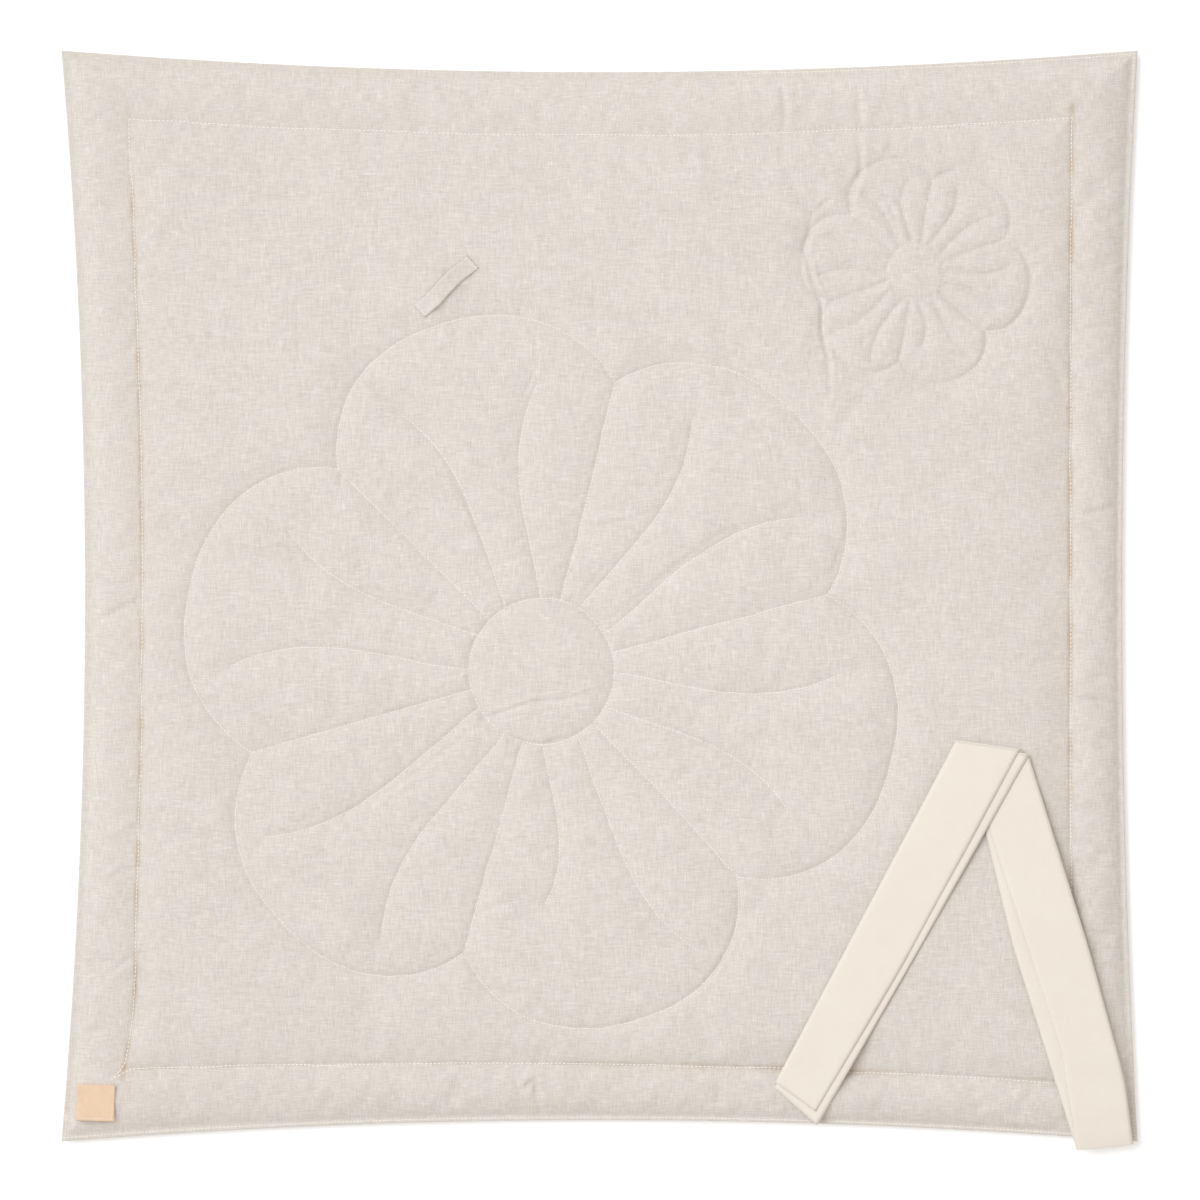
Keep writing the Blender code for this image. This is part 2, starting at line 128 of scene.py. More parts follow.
# ---- Creases pressed into the front by storage and handling ----
# Each has its place, its depth (a ridge where negative), its half width and its points.
CREASES = (
    ("above the upper notch", 0.0009, 0.0022, ((-0.005, 0.318), (-0.004, 0.264))),
    ("end of the upper vein", 0.0007, 0.0024, ((-0.066, 0.280), (-0.064, 0.233), (-0.079, 0.202))),
    ("across the big eye", 0.0015, 0.0022, (
        (-0.142, -0.132), (-0.117, -0.125), (-0.071, -0.109), (-0.030, -0.104), (0.001, -0.095))),
    ("under the big eye", 0.0013, 0.0022, (
        (-0.124, -0.123), (-0.106, -0.140), (-0.081, -0.150), (-0.056, -0.151), (-0.034, -0.143))),
    ("below the big eye", 0.0005, 0.0030, ((-0.081, -0.157), (-0.086, -0.208))),
    ("right of the big eye", 0.0009, 0.0030, ((-0.021, -0.003), (0.008, 0.032))),
    ("big notch, upper left", 0.0014, 0.0025, ((-0.265, 0.127), (-0.262, 0.111))),
    ("big vein, upper left petal", 0.0012, 0.0030, ((-0.163, 0.149), (-0.130, 0.083), (-0.102, 0.016))),
    ("big vein, upper right petal", 0.0010, 0.0030, (
        (0.002, -0.032), (0.072, 0.026), (0.117, 0.060), (0.161, 0.076))),
    ("fold in the upper right petal", 0.0009, 0.0025, (
        (-0.008, 0.070), (0.026, 0.077), (0.053, 0.084))),
    ("big vein, lower left petal", 0.0012, 0.0030, (
        (-0.120, -0.129), (-0.189, -0.182), (-0.234, -0.212), (-0.279, -0.231))),
    ("ridge in the lower left petal", -0.0005, 0.0020, (
        (-0.164, -0.241), (-0.127, -0.249), (-0.090, -0.254))),
    ("fold beside the lower notch", 0.0007, 0.0025, ((-0.138, -0.316), (-0.118, -0.312))),
    ("lower petal, low fold", 0.0005, 0.0030, ((-0.081, -0.379), (-0.030, -0.368), (0.008, -0.357))),
    ("left petal, outer side", 0.0010, 0.0030, ((-0.375, -0.188), (-0.374, -0.229), (-0.366, -0.275))),
    ("right petal, outer side", 0.0010, 0.0030, ((0.242, 0.122), (0.252, 0.067), (0.233, 0.008))),
    ("small flower, left side", 0.0032, 0.0026, (
        (0.217, 0.388), (0.210, 0.353), (0.218, 0.320), (0.227, 0.299), (0.227, 0.269),
        (0.234, 0.239), (0.235, 0.203))),
    ("above the small flower", 0.0018, 0.0030, ((0.266, 0.470), (0.267, 0.439), (0.260, 0.407))),
    ("small flower, upper left", 0.0012, 0.0025, ((0.219, 0.391), (0.238, 0.407))),
    ("small vein, upper petal", 0.0016, 0.0025, ((0.282, 0.417), (0.298, 0.397), (0.309, 0.359))),
    ("small divider, upper left", 0.0012, 0.0025, ((0.264, 0.391), (0.303, 0.356))),
    ("small vein, left petal", 0.0012, 0.0022, ((0.242, 0.376), (0.255, 0.359))),
    ("small vein, upper right", 0.0009, 0.0025, ((0.360, 0.355), (0.391, 0.382))),
    ("small vein, right petal", 0.0008, 0.0025, ((0.357, 0.331), (0.391, 0.328), (0.423, 0.330))),
    ("small divider, lower right", 0.0013, 0.0025, ((0.353, 0.308), (0.391, 0.274))),
    ("small vein, lower right petal", 0.0010, 0.0040, ((0.363, 0.319), (0.414, 0.292))),
    ("small fold, lower left petal", 0.0009, 0.0025, ((0.237, 0.280), (0.263, 0.276))),
    ("small dent, lower left petal", 0.0008, 0.0040, ((0.269, 0.274), (0.270, 0.247))),
    ("beside the small flower", 0.0010, 0.0040, (
        (0.429, 0.259), (0.456, 0.247), (0.470, 0.223), (0.474, 0.198))),
    ("field under the far border", 0.0009, 0.0050, (
        (0.183, 0.472), (0.187, 0.445), (0.200, 0.413), (0.217, 0.389))),
    ("field by the far border", 0.0008, 0.0030, ((0.289, 0.445), (0.299, 0.464))),
    ("far border gather 1", 0.0016, 0.0040, ((0.186, 0.527), (0.190, 0.478))),
    ("far border gather 2", 0.0016, 0.0040, ((0.263, 0.523), (0.268, 0.476))),
    ("far border gather 3", 0.0015, 0.0040, ((0.312, 0.523), (0.319, 0.480))),
    ("right border gather 1", 0.0021, 0.0038, ((0.483, 0.081), (0.509, 0.086), (0.534, 0.092))),
    ("right border gather 2", 0.0021, 0.0038, ((0.485, -0.104), (0.532, -0.112))),
    ("right border gather 3", 0.0018, 0.0038, ((0.489, 0.270), (0.530, 0.277))),
    ("left border gather 1", 0.0021, 0.0035, ((-0.515, -0.027), (-0.492, -0.016), (-0.467, -0.004))),
    ("left border gather 2", 0.0012, 0.0035, ((-0.502, -0.386), (-0.471, -0.367))),
    ("left border gather 3", 0.0010, 0.0030, ((-0.498, -0.288), (-0.483, -0.277))),
    ("left border gather 4", 0.0010, 0.0035, ((-0.488, 0.258), (-0.468, 0.245))),
    ("near border gather 1", 0.0025, 0.0033, (
        (-0.089, -0.486), (-0.081, -0.505), (-0.066, -0.494), (-0.060, -0.533))),
    ("near border gather 2", 0.0008, 0.0050, ((-0.219, -0.402), (-0.229, -0.466))),
    ("near border dent", 0.0010, 0.0040, ((-0.077, -0.458), (-0.055, -0.469))),
)


# ---- Where things are on the cushion (every function works on numpy arrays) ----

def fullness(side, along):
    reach = HALF_Y if side in ("left", "right") else HALF_X
    return 1.0 - np.minimum(1.0, np.abs(along) / reach) ** 2


def edge_at(side, along):
    return SIGN[side] * (HALF[side] - EDGE_BOW[side] * fullness(side, along))


def border_at(side, along):
    reach = HALF_Y if side in ("left", "right") else HALF_X
    inset = BORDER_WIDTH[side] + BORDER_BOW[side] * fullness(side, along)
    if side == "left":
        for stray, middle, reach in LEFT_BORDER_STRAYS:
            inset = inset + stray * np.exp(-((along - middle) / reach) ** 2)
    return SIGN[side] * (HALF[side] - inset) + BORDER_SLANT[side] * along / reach


def side_share(side, x, y):
    place, along = (x, y) if side in ("left", "right") else (y, x)
    edge = edge_at(side, along)
    return (place - edge) / (border_at(side, along) - edge)


def share_at(x, y):
    """0 on the cushion's edge, 1 on the border stitching, more inside the field."""
    return np.minimum.reduce([side_share(side, x, y) for side in SIDES])


def line_at(side, share, along):
    edge = edge_at(side, along)
    return edge + share * (border_at(side, along) - edge)


def ring(share, steps=330):
    """Points once round the cushion at one share of the border."""
    corners = []
    for x_side, y_side in (("left", "near"), ("right", "near"), ("right", "far"), ("left", "far")):
        x = y = 0.0
        for _ in range(CORNER_ROUNDS):
            x = line_at(x_side, share, y)
            y = line_at(y_side, share, x)
        corners.append((float(x), float(y)))
    points = []
    for index, side in enumerate(("near", "right", "far", "left")):
        start, end = corners[index], corners[(index + 1) % 4]
        mix = np.arange(steps) / steps
        x = start[0] + (end[0] - start[0]) * mix
        y = start[1] + (end[1] - start[1]) * mix
        if side in ("near", "far"):
            y = line_at(side, share, x)
        else:
            x = line_at(side, share, y)
        points.append(np.column_stack((x, y)))
    return np.vstack(points)


# ---- Noise with fixed seeds ----

def soft_noise(x, y, size, seed):
    """Smooth noise from -1 to 1 whose lumps are about `size` across."""
    rng = np.random.RandomState(seed)
    cells = rng.uniform(-1, 1, (64, 64))
    u, v = x / size, y / size
    i, j = np.floor(u).astype(int), np.floor(v).astype(int)
    fu, fv = u - i, v - j
    su, sv = eased(fu), eased(fv)
    a, b = cells[i % 64, j % 64], cells[(i + 1) % 64, j % 64]
    c, d = cells[i % 64, (j + 1) % 64], cells[(i + 1) % 64, (j + 1) % 64]
    return (a * (1 - su) + b * su) * (1 - sv) + (c * (1 - su) + d * su) * sv


def eased(mix):
    """A share from 0 to 1 that starts and stops gently."""
    return mix * mix * (3 - 2 * mix)


def row_noise(along, size, seed):
    return soft_noise(along, np.zeros_like(along) + 0.37 * size, size, seed)


# ---- Lines of stitching ----

def on_flower(flower, radius, bearing):
    angle = np.radians(bearing)
    x = flower["centre"][0] + radius * np.cos(angle)
    y = flower["centre"][1] + radius * np.sin(angle)
    return np.column_stack((x, y))


def lengths_along(points):
    """How far along a path each of its points lies."""
    return np.concatenate(([0.0], np.cumsum(np.linalg.norm(np.diff(points, axis=0), axis=1))))


def petal_outline(flower, drift):
    bearing = np.arange(0.0, 360.0, 0.25)
    half_petal = 180.0 / PETALS
    offset = np.mod(bearing, 2 * half_petal) - half_petal
    bulge = 1.0 - np.abs(offset / half_petal) ** PETAL_ROUNDNESS
    petal = (bearing / (2 * half_petal)).astype(int)
    mix = (offset / half_petal + 1) / 2
    drift = np.array(drift)
    stray = drift[petal] * (1 - mix)[:, None] + drift[(petal + 1) % PETALS] * mix[:, None]
    notch = flower["notch"] + stray[:, 1]
    radius = notch + (flower["tip"] - notch) * bulge
    return on_flower(flower, radius, bearing + flower["turn"] + stray[:, 0])


def vein(flower, middle, side, reach):
    share = np.linspace(0.0, 1.0, 60)
    start = flower["eye"] + VEIN_GAP
    radius = start + (flower["tip"] * reach - start) * share
    offset = VEIN_SPREAD + VEIN_FLARE * (2 * share - 1) ** 2
    return on_flower(flower, radius, middle + side * offset)


def wobbled(points, closed, seed):
    """The small sideways wander of a line sewn by hand-guided machine."""
    along = lengths_along(points)
    length = along[-1]
    before, after = np.roll(points, 1, axis=0), np.roll(points, -1, axis=0)
    if not closed:
        before[0], after[-1] = points[0], points[-1]
    tangent = after - before
    tangent /= np.maximum(np.linalg.norm(tangent, axis=1), 1e-9)[:, None]
    normal = np.column_stack((-tangent[:, 1], tangent[:, 0]))
    sideways = 0.0011 * row_noise(along, 0.045, seed) + 0.0004 * row_noise(along, 0.012, seed + 1)
    fade = np.minimum(1.0, np.minimum(along, length - along) / 0.02)
    return points + normal * (sideways * fade)[:, None]


def flower_runs(name, flower, drift):
    """(name, points, closed, depth) for each line of stitching on one flower."""
    deep = flower["depth"]
    circle = on_flower(flower, np.full(180, flower["eye"]), np.arange(0.0, 360.0, 2.0))
    runs = [(name + "_eye", circle, True, deep * flower["eye depth"]),
            (name + "_petals", petal_outline(flower, drift), True, deep)]
    step = 360.0 / PETALS
    for petal in range(PETALS):
        notch = flower["turn"] + petal * step
        far_end = flower["notch"] + drift[petal][1] - VEIN_GAP
        radius = np.linspace(flower["eye"] + VEIN_GAP, far_end, 60)
        divider = on_flower(flower, radius, notch + drift[petal][0] * np.linspace(0, 1, 60))
        runs.append((f"{name}_divider_{petal + 1}", divider, False, deep * 0.9))
        for label, side, reach in zip(("right", "left"), (-1, 1), VEIN_REACH[petal]):
            line = vein(flower, notch + step / 2, side, reach)
            runs.append((f"{name}_vein_{petal + 1}_{label}", line, False, deep * 0.8))
    return runs


def resampled(points, closed, spacing):
    path = np.vstack((points, points[:1])) if closed else points
    along = lengths_along(path)
    count = max(2, int(round(along[-1] / spacing)))
    places = np.linspace(0.0, along[-1], count + 1)
    if closed:
        places = places[:-1]
    return np.column_stack([np.interp(places, along, path[:, axis]) for axis in range(path.shape[1])])


def overshot(points):
    """The border stitching runs past its near left corner, where the cushion was turned."""
    away = np.linalg.norm(points - points[0], axis=1)
    return points + np.outer(np.exp(-(away / OVERSHOOT_REACH) ** 2), CORNER_OVERSHOOT)


def all_runs():
    runs = [("border_stitch", overshot(ring(1.0)), True, 0.0)]
    runs += flower_runs("big_flower", BIG_FLOWER, BIG_NOTCH_DRIFT)
    runs += flower_runs("small_flower", SMALL_FLOWER, SMALL_NOTCH_DRIFT)
    done = []
    for seed, (name, points, closed, deep) in enumerate(runs):
        line = wobbled(resampled(points, closed, RUN_SPACING), closed, 100 + 2 * seed)
        done.append((name, line, closed, deep))
    return done


RUNS = all_runs()


def nearest_stitching(x, y):
    """For each point: distance to the nearest line of quilting, its depth, and the place along it."""
    lines = [run for run in RUNS if run[3] > 0]
    points = np.vstack([run[1] for run in lines])
    depth = np.concatenate([np.full(len(run[1]), run[3]) for run in lines])
    place = np.concatenate([np.arange(len(run[1])) * RUN_SPACING + 7.3 * index
                            for index, run in enumerate(lines)])
    tree = KDTree(len(points))
    for index, point in enumerate(points):
        tree.insert((point[0], point[1], 0.0), index)
    tree.balance()
    found = [tree.find((a, b, 0.0)) for a, b in zip(x.ravel(), y.ravel())]
    index = np.array([hit[1] for hit in found])
    distance = np.array([hit[2] for hit in found])
    ahead = points[np.minimum(index + 1, len(points) - 1)] - points[np.maximum(index - 1, 0)]
    away = np.column_stack((x.ravel(), y.ravel())) - points[index]
    side = np.sign(ahead[:, 0] * away[:, 1] - ahead[:, 1] * away[:, 0])
    shape = x.shape
    return tuple(part.reshape(shape) for part in (distance, depth[index], place[index], side))


# ---- Heights of the two covers ----

def roll_profile(share, low, high, rim):
    """Height across the padded border, from the sewn rim to the border stitching."""
    across = np.clip((share - RIM_SHARE) / (1.0 - RIM_SHARE), 0.0, 1.0)
    outer = 1.0 - np.exp(-across / 0.21)
    inner = 1.0 - 0.5 * np.exp(-(1.0 - across) / 0.045) - 0.5 * np.exp(-(1.0 - across) / 0.22)
    return np.minimum(rim + (high - rim) * outer, low + (high - low) * inner)


def rim_height(share, rim, facing):
    """The turned edge: a small round fold at the seam, pressed by the topstitching."""
    edge = np.clip(share / 0.028, 0.0, 1.0)
    lip = rim - SEAM_Z - 0.0003
    height = SEAM_Z + facing * (0.0003 + lip * np.sqrt(1 - (1 - edge) ** 2))
    return height - facing * 0.0004 * np.exp(-((share - TOPSTITCH_SHARE) / 0.014) ** 2)


def valley_height(x, y):
    """Where the border stitching draws the padding down: least at the far side, most near right."""
    far = np.clip((y - 0.30) / 0.12, 0.0, 1.0)
    near = np.clip((-y - 0.36) / 0.08, 0.0, 1.0) * np.clip((x + 0.20) / 0.40, 0.0, 1.0)
    right = np.clip((x - 0.36) / 0.06, 0.0, 1.0) * np.clip((0.40 - y) / 0.30, 0.3, 1.0)
    return VALLEY_TOP + FAR_VALLEY_RISE * far - NEAR_VALLEY_DROP * np.maximum(near, right)


def front_height(x, y, stitching):
    distance, depth, place, side = stitching
    share = share_at(x, y)
    inside = np.maximum(0.0, share - 1.0) * SHARE_SPAN
    valley = valley_height(x, y)
    rise = sum(part * (1 - np.exp(-inside / reach)) for part, reach in FIELD_RISE)
    field = valley + (FIELD_TOP - FIELD_ROOM - valley) * rise
    border = roll_profile(share, valley, ROLL_TOP, RIM_Z)
    height = np.where(share < 1.0, border, field)
    height = np.where(share < RIM_SHARE, rim_height(share, RIM_Z, 1), height)
    # quilting: each line pulls the padding down, with small gathers beside it
    near = np.sqrt(distance ** 2 + 0.0008 ** 2) - 0.0008
    dip = depth * (1.0 + 0.45 * row_noise(place, 0.045, 9))
    dip = dip * (0.60 * np.exp(-near / 0.0020) + 0.40 * np.exp(-near / 0.0110))
    gather = row_noise(place + 31.0 * (side > 0), 0.0055, 7) * np.exp(-distance / 0.008)
    gather += 0.7 * row_noise(place + 31.0 * (side > 0), 0.016, 8) * np.exp(-distance / 0.016)
    fade = np.clip((share - 1.0) / 0.25, 0.0, 1.0)
    height -= (dip - 0.00025 * gather * (depth > 0)) * fade
    return height + padding_unevenness(x, y, share) + border_gathers(x, y)


def border_gathers(x, y):
    """Small puckers square to the border stitching, on both sides of it."""
    puckers = np.zeros_like(x)
    for seed, side in enumerate(SIDES):
        along = y if side in ("left", "right") else x
        off = np.abs(side_share(side, x, y) - 1.0) * SEAM_SPAN
        rows = row_noise(along, 0.0085, 80 + seed) + 0.6 * row_noise(along, 0.021, 90 + seed)
        others = [side_share(other, x, y) for other in SIDES if other != side]
        within = np.clip((np.minimum.reduce(others) - 0.75) / 0.25, 0.0, 1.0)
        strength = 0.5 if side == "far" else 1.0
        puckers += strength * within * rows * np.exp(-off / 0.010) * (1 - np.exp(-off / 0.0018))
    return GATHER_HEIGHT * puckers


def crease_relief(x, y):
    """Depth to take off for the pressed creases: a soft groove with a low ridge beside it."""
    relief = np.zeros_like(x)
    for _, depth, width, points in CREASES:
        path = np.array(points)
        low, high = path.min(axis=0) - 5 * width, path.max(axis=0) + 5 * width
        inside = (x > low[0]) & (x < high[0]) & (y > low[1]) & (y < high[1])
        here = np.column_stack((x[inside], y[inside]))
        steps = np.linalg.norm(np.diff(path, axis=0), axis=1)
        total, done = steps.sum(), 0.0
        best = np.full(len(here), 1e9)
        place, signed = np.zeros(len(here)), np.zeros(len(here))
        for start, end, length in zip(path[:-1], path[1:], steps):
            way = (end - start) / length
            along = np.clip((here - start) @ way, 0.0, length)
            away = here - start - np.outer(along, way)
            distance = np.linalg.norm(away, axis=1)
            closer = distance < best
            best = np.where(closer, distance, best)
            place = np.where(closer, (done + along) / total, place)
            side = np.sign(way[0] * away[:, 1] - way[1] * away[:, 0])
            signed = np.where(closer, side * distance, signed)
            done += length
        fade = np.sin(math.pi * np.clip(place, 0.03, 0.97)) ** 0.6
        groove = np.exp(-(best / width) ** 2) - 0.35 * np.exp(-((signed - 1.9 * width) / width) ** 2)
        relief[inside] += depth * fade * groove
    return relief


def padding_unevenness(x, y, share):
    soft = 0.00075 * (soft_noise(x, y, 0.085, 11) - 0.8) + 0.0004 * soft_noise(x, y, 0.034, 12)
    field = soft * np.clip((share - 1.0) / 0.5, 0.0, 1.0)
    roll = np.clip((share - 0.1) / 0.3, 0.0, 1.0) * np.clip((1.0 - share) / 0.25, 0.0, 1.0)
    lumps = 0.0007 * soft_noise(x, y, 0.030, 13) + 0.0004 * soft_noise(x, y, 0.012, 14)
    loose = 1.0 + 0.9 * np.clip(np.maximum(x - 0.45, -0.45 - y) / 0.03, 0.0, 1.0)
    return field + lumps * loose * roll


def back_height(x, y, stitching):
    distance, depth, _, _ = stitching
    share = share_at(x, y)
    inside = np.maximum(0.0, share - 1.0) * SHARE_SPAN
    field = VALLEY_BOTTOM * np.exp(-inside / 0.007)
    across = np.clip((share - RIM_SHARE) / (1.0 - RIM_SHARE), 0.0, 1.0)
    rim = 2 * SEAM_Z - RIM_Z
    border = np.maximum(rim * np.exp(-across / 0.07), VALLEY_BOTTOM * np.exp(-(1 - across) / 0.10))
    height = np.where(share < 1.0, border, field)
    height = np.where(share < RIM_SHARE, rim_height(share, RIM_Z, -1), height)
    near = np.sqrt(distance ** 2 + 0.0012 ** 2) - 0.0012
    dip = 0.7 * depth * np.exp(-near / 0.0050)
    height += dip * np.clip((share - 1.0) / 0.25, 0.0, 1.0)
    return np.maximum(height, 0.0)


# ---- Grids that follow the cushion's outline and its border stitching ----

BORDER_SHARES = (0.0, 0.005, 0.012, 0.022, 0.04, 0.07, 0.10, 0.13, 0.17, 0.21, 0.25, 0.30, 0.35, 0.40,
                 0.45, 0.50, 0.55, 0.60, 0.65, 0.70, 0.75, 0.80, 0.84, 0.88, 0.92, 0.95, 0.975)


def stations(shares, field_steps):
    """Station list across the cushion: (kind, value) with kind 0 left, 1 field, 2 right."""
    left = [(0, share) for share in shares]
    field = [(1, step / field_steps) for step in range(field_steps + 1)]
    right = [(2, share) for share in reversed(shares)]
    return left + field + right


def grid_points(shares, steps_x, steps_y):
    columns, rows = stations(shares, steps_x), stations(shares, steps_y)

    def places(line, low_side, high_side, along):
        kind = np.array([entry[0] for entry in line])
        value = np.array([entry[1] for entry in line])
        low_border, high_border = border_at(low_side, along), border_at(high_side, along)
        low_edge, high_edge = edge_at(low_side, along), edge_at(high_side, along)
        shape = (-1, 1) if low_side == "left" else (1, -1)
        kind, value = kind.reshape(shape), value.reshape(shape)
        low = low_edge + value * (low_border - low_edge)
        high = high_edge + value * (high_border - high_edge)
        middle = low_border + value * (high_border - low_border)
        return np.where(kind == 0, low, np.where(kind == 1, middle, high))

    x = np.zeros((len(columns), len(rows)))
    y = np.zeros_like(x)
    for _ in range(CORNER_ROUNDS):
        x = places(columns, "left", "right", y)
        y = places(rows, "near", "far", x)
    return x, y


def grid_quads(count_x, count_y, start=0, flip=False):
    index = start + np.arange(count_x * count_y).reshape(count_x, count_y)
    quads = np.stack((index[:-1, :-1], index[1:, :-1], index[1:, 1:], index[:-1, 1:]), axis=-1)
    quads = quads.reshape(-1, 4)
    return quads[:, ::-1] if flip else quads


def rim_loop(count_x, count_y, start=0):
    """Indices once round a grid's edge, anticlockwise from its near left corner."""
    index = start + np.arange(count_x * count_y).reshape(count_x, count_y)
    return np.concatenate((index[:-1, 0], index[-1, :-1], index[:0:-1, -1], index[0, :0:-1]))


def closed_sheet(top, bottom, thinning):
    """One closed mesh from an upper grid and a lower grid that has every `thinning`-th point."""
    count_x, count_y = top.shape[:2]
    low_x, low_y = bottom.shape[:2]
    start = count_x * count_y
    points = np.vstack((top.reshape(-1, 3), bottom.reshape(-1, 3)))
    faces = [tuple(quad) for quad in grid_quads(count_x, count_y)]
    faces += [tuple(quad) for quad in grid_quads(low_x, low_y, start, flip=True)]
    upper = rim_loop(count_x, count_y)
    lower = rim_loop(low_x, low_y, start)
    for step in range(len(lower)):
        first = [upper[(step * thinning + k) % len(upper)] for k in range(thinning + 1)]
        here, there = lower[step], lower[(step + 1) % len(lower)]
        faces.append((here, there, *reversed(first)))
    return points, faces


def placed_object(name, data):
    thing = bpy.data.objects.new(name, data)
    bpy.context.scene.collection.objects.link(thing)
    return thing


def add_piece(name, points, faces, material):
    mesh = bpy.data.meshes.new(name)
    mesh.from_pydata([tuple(point) for point in points], [], faces)
    mesh.validate()
    mesh.shade_smooth()
    mesh.materials.append(material)
    return placed_object(name, mesh)


# ---- Materials ----

def node_group(name, inputs, outputs):
    group = bpy.data.node_groups.new(name, "ShaderNodeTree")
    for label, kind, value in inputs:
        socket = group.interface.new_socket(label, in_out="INPUT", socket_type=kind)
        if value is not None:
            socket.default_value = value
    for label, kind in outputs:
        group.interface.new_socket(label, in_out="OUTPUT", socket_type=kind)
    return group, group.nodes.new("NodeGroupInput"), group.nodes.new("NodeGroupOutput")


def filled(tree, node, values):
    """The node with values or other nodes' outputs on its inputs."""
    for key, value in values.items():
        if isinstance(value, bpy.types.NodeSocket):
            tree.links.new(value, node.inputs[key])
        else:
            node.inputs[key].default_value = value
    return node


def add_node(tree, kind, settings=(), links=()):
    """A node with its settings, and values or other nodes' outputs on its inputs."""
    node = tree.nodes.new(kind)
    for key, value in dict(settings).items():
        setattr(node, key, value)
    return filled(tree, node, dict(links))


def math_node(tree, operation, first, second=0.0, third=0.0):
    node = add_node(tree, "ShaderNodeMath", {"operation": operation}, {0: first, 1: second, 2: third})
    return node.outputs[0]


def stretched_noise(tree, place, scale, detail):
    """Noise from -1 to 1 whose grain is drawn out by a scale for each axis."""
    mapping = add_node(tree, "ShaderNodeMapping", {}, {"Vector": place, "Scale": scale})
    noise = add_node(tree, "ShaderNodeTexNoise", {"noise_dimensions": "3D"},
                     {"Vector": mapping.outputs[0], "Scale": 1.0, "Detail": detail, "Roughness": 0.55})
    return math_node(tree, "MULTIPLY_ADD", noise.outputs[0], 2.0, -1.0)


def make_weave_group():
    """Woven cloth: slubs and uneven yarns both ways, and the over-and-under of a plain weave."""
    group, given, result = node_group("woven cloth", (
        ("Vector", "NodeSocketVector", None),
        ("Yarns per metre", "NodeSocketFloat", 1500.0),
        ("Slub length", "NodeSocketFloat", 0.012),
        ("Slub width", "NodeSocketFloat", 0.0011),
    ), (("Slubs", "NodeSocketFloat"), ("Yarn ridges", "NodeSocketFloat"), ("Height", "NodeSocketFloat"),
        ("Thick yarns", "NodeSocketFloat")))
    place, yarns = given.outputs[0], given.outputs[1]
    along = math_node(group, "DIVIDE", 1.0, given.outputs[2])
    across = math_node(group, "DIVIDE", 1.0, given.outputs[3])
    streaks = []
    for wide, tall in ((along, across), (across, along)):
        scale = add_node(group, "ShaderNodeCombineXYZ", {}, {0: wide, 1: tall, 2: along})
        streaks.append(stretched_noise(group, place, scale.outputs[0], 3.0))
    slubs = math_node(group, "ADD", streaks[0], streaks[1])
    wave_scale = math_node(group, "MULTIPLY", yarns, math.pi)
    split = add_node(group, "ShaderNodeSeparateXYZ", {}, {0: place})
    ridges = []
    for axis in (0, 1):
        turned = math_node(group, "MULTIPLY", split.outputs[axis], wave_scale)
        ridges.append(math_node(group, "SINE", turned))
    over_under = math_node(group, "MULTIPLY", ridges[0], ridges[1])
    height = math_node(group, "MULTIPLY_ADD", slubs, 0.8, over_under)
    group.links.new(slubs, result.inputs[0])
    group.links.new(over_under, result.inputs[1])
    group.links.new(height, result.inputs[2])
    thickest = math_node(group, "MAXIMUM", streaks[0], streaks[1])
    thick = add_node(group, "ShaderNodeMapRange", {}, {0: thickest, 1: 0.30, 2: 0.60})
    group.links.new(thick.outputs[0], result.inputs[3])
    return group


def make_mottle_group():
    """Slow unevenness of a dyed or natural finish, as cloudy patches."""
    group, given, result = node_group("cloudy patches", (
        ("Vector", "NodeSocketVector", None),
        ("Patch size", "NodeSocketFloat", 0.05),
    ), (("Patches", "NodeSocketFloat"),))
    scale = math_node(group, "DIVIDE", 1.0, given.outputs[1])
    noise = add_node(group, "ShaderNodeTexNoise", {},
                     {"Vector": given.outputs[0], "Scale": scale, "Detail": 4.0, "Roughness": 0.6})
    patches = math_node(group, "MULTIPLY_ADD", noise.outputs[0], 2.0, -1.0)
    group.links.new(patches, result.inputs[0])
    return group


WEAVE_GROUP = make_weave_group()
MOTTLE_GROUP = make_mottle_group()


def place_group(tree, group, values):
    node = tree.nodes.new("ShaderNodeGroup")
    node.node_tree = group
    return filled(tree, node, values)


def new_material(name, roughness, sheen):
    material = bpy.data.materials.new(name)
    material.use_nodes = True
    tree = material.node_tree
    skin = tree.nodes["Principled BSDF"]
    skin.inputs["Roughness"].default_value = roughness
    skin.inputs["Specular IOR Level"].default_value = 0.25
    skin.inputs["Sheen Weight"].default_value = sheen
    skin.inputs["Sheen Roughness"].default_value = 0.6
    place = tree.nodes.new("ShaderNodeTexCoord").outputs["Object"]
    return material, tree, skin, place


def ramp_colour(tree, amount, dark, light):
    mix = add_node(tree, "ShaderNodeMix", {"data_type": "RGBA"})
    tree.links.new(amount, mix.inputs[0])
    mix.inputs[6].default_value = (*dark, 1.0)
    mix.inputs[7].default_value = (*light, 1.0)
    return mix.outputs[2]


def bump(tree, skin, height, strength, distance):
    node = add_node(tree, "ShaderNodeBump", {}, {"Height": height, "Strength": strength,
                                                 "Distance": distance})
    tree.links.new(node.outputs[0], skin.inputs["Normal"])
    return node


def shaded(tree, colour, mask, tint):
    """The colour multiplied by a tint where the mask is high."""
    mix = add_node(tree, "ShaderNodeMix", {"data_type": "RGBA", "blend_type": "MULTIPLY"})
    tree.links.new(mask, mix.inputs[0])
    tree.links.new(colour, mix.inputs[6])
    mix.inputs[7].default_value = (*tint, 1.0)
    return mix.outputs[2]


PAINTED_SEAM_SHADE = "painted_seam_shade"  # how much painted warm shade darkens the cover in the valley beside the border stitching
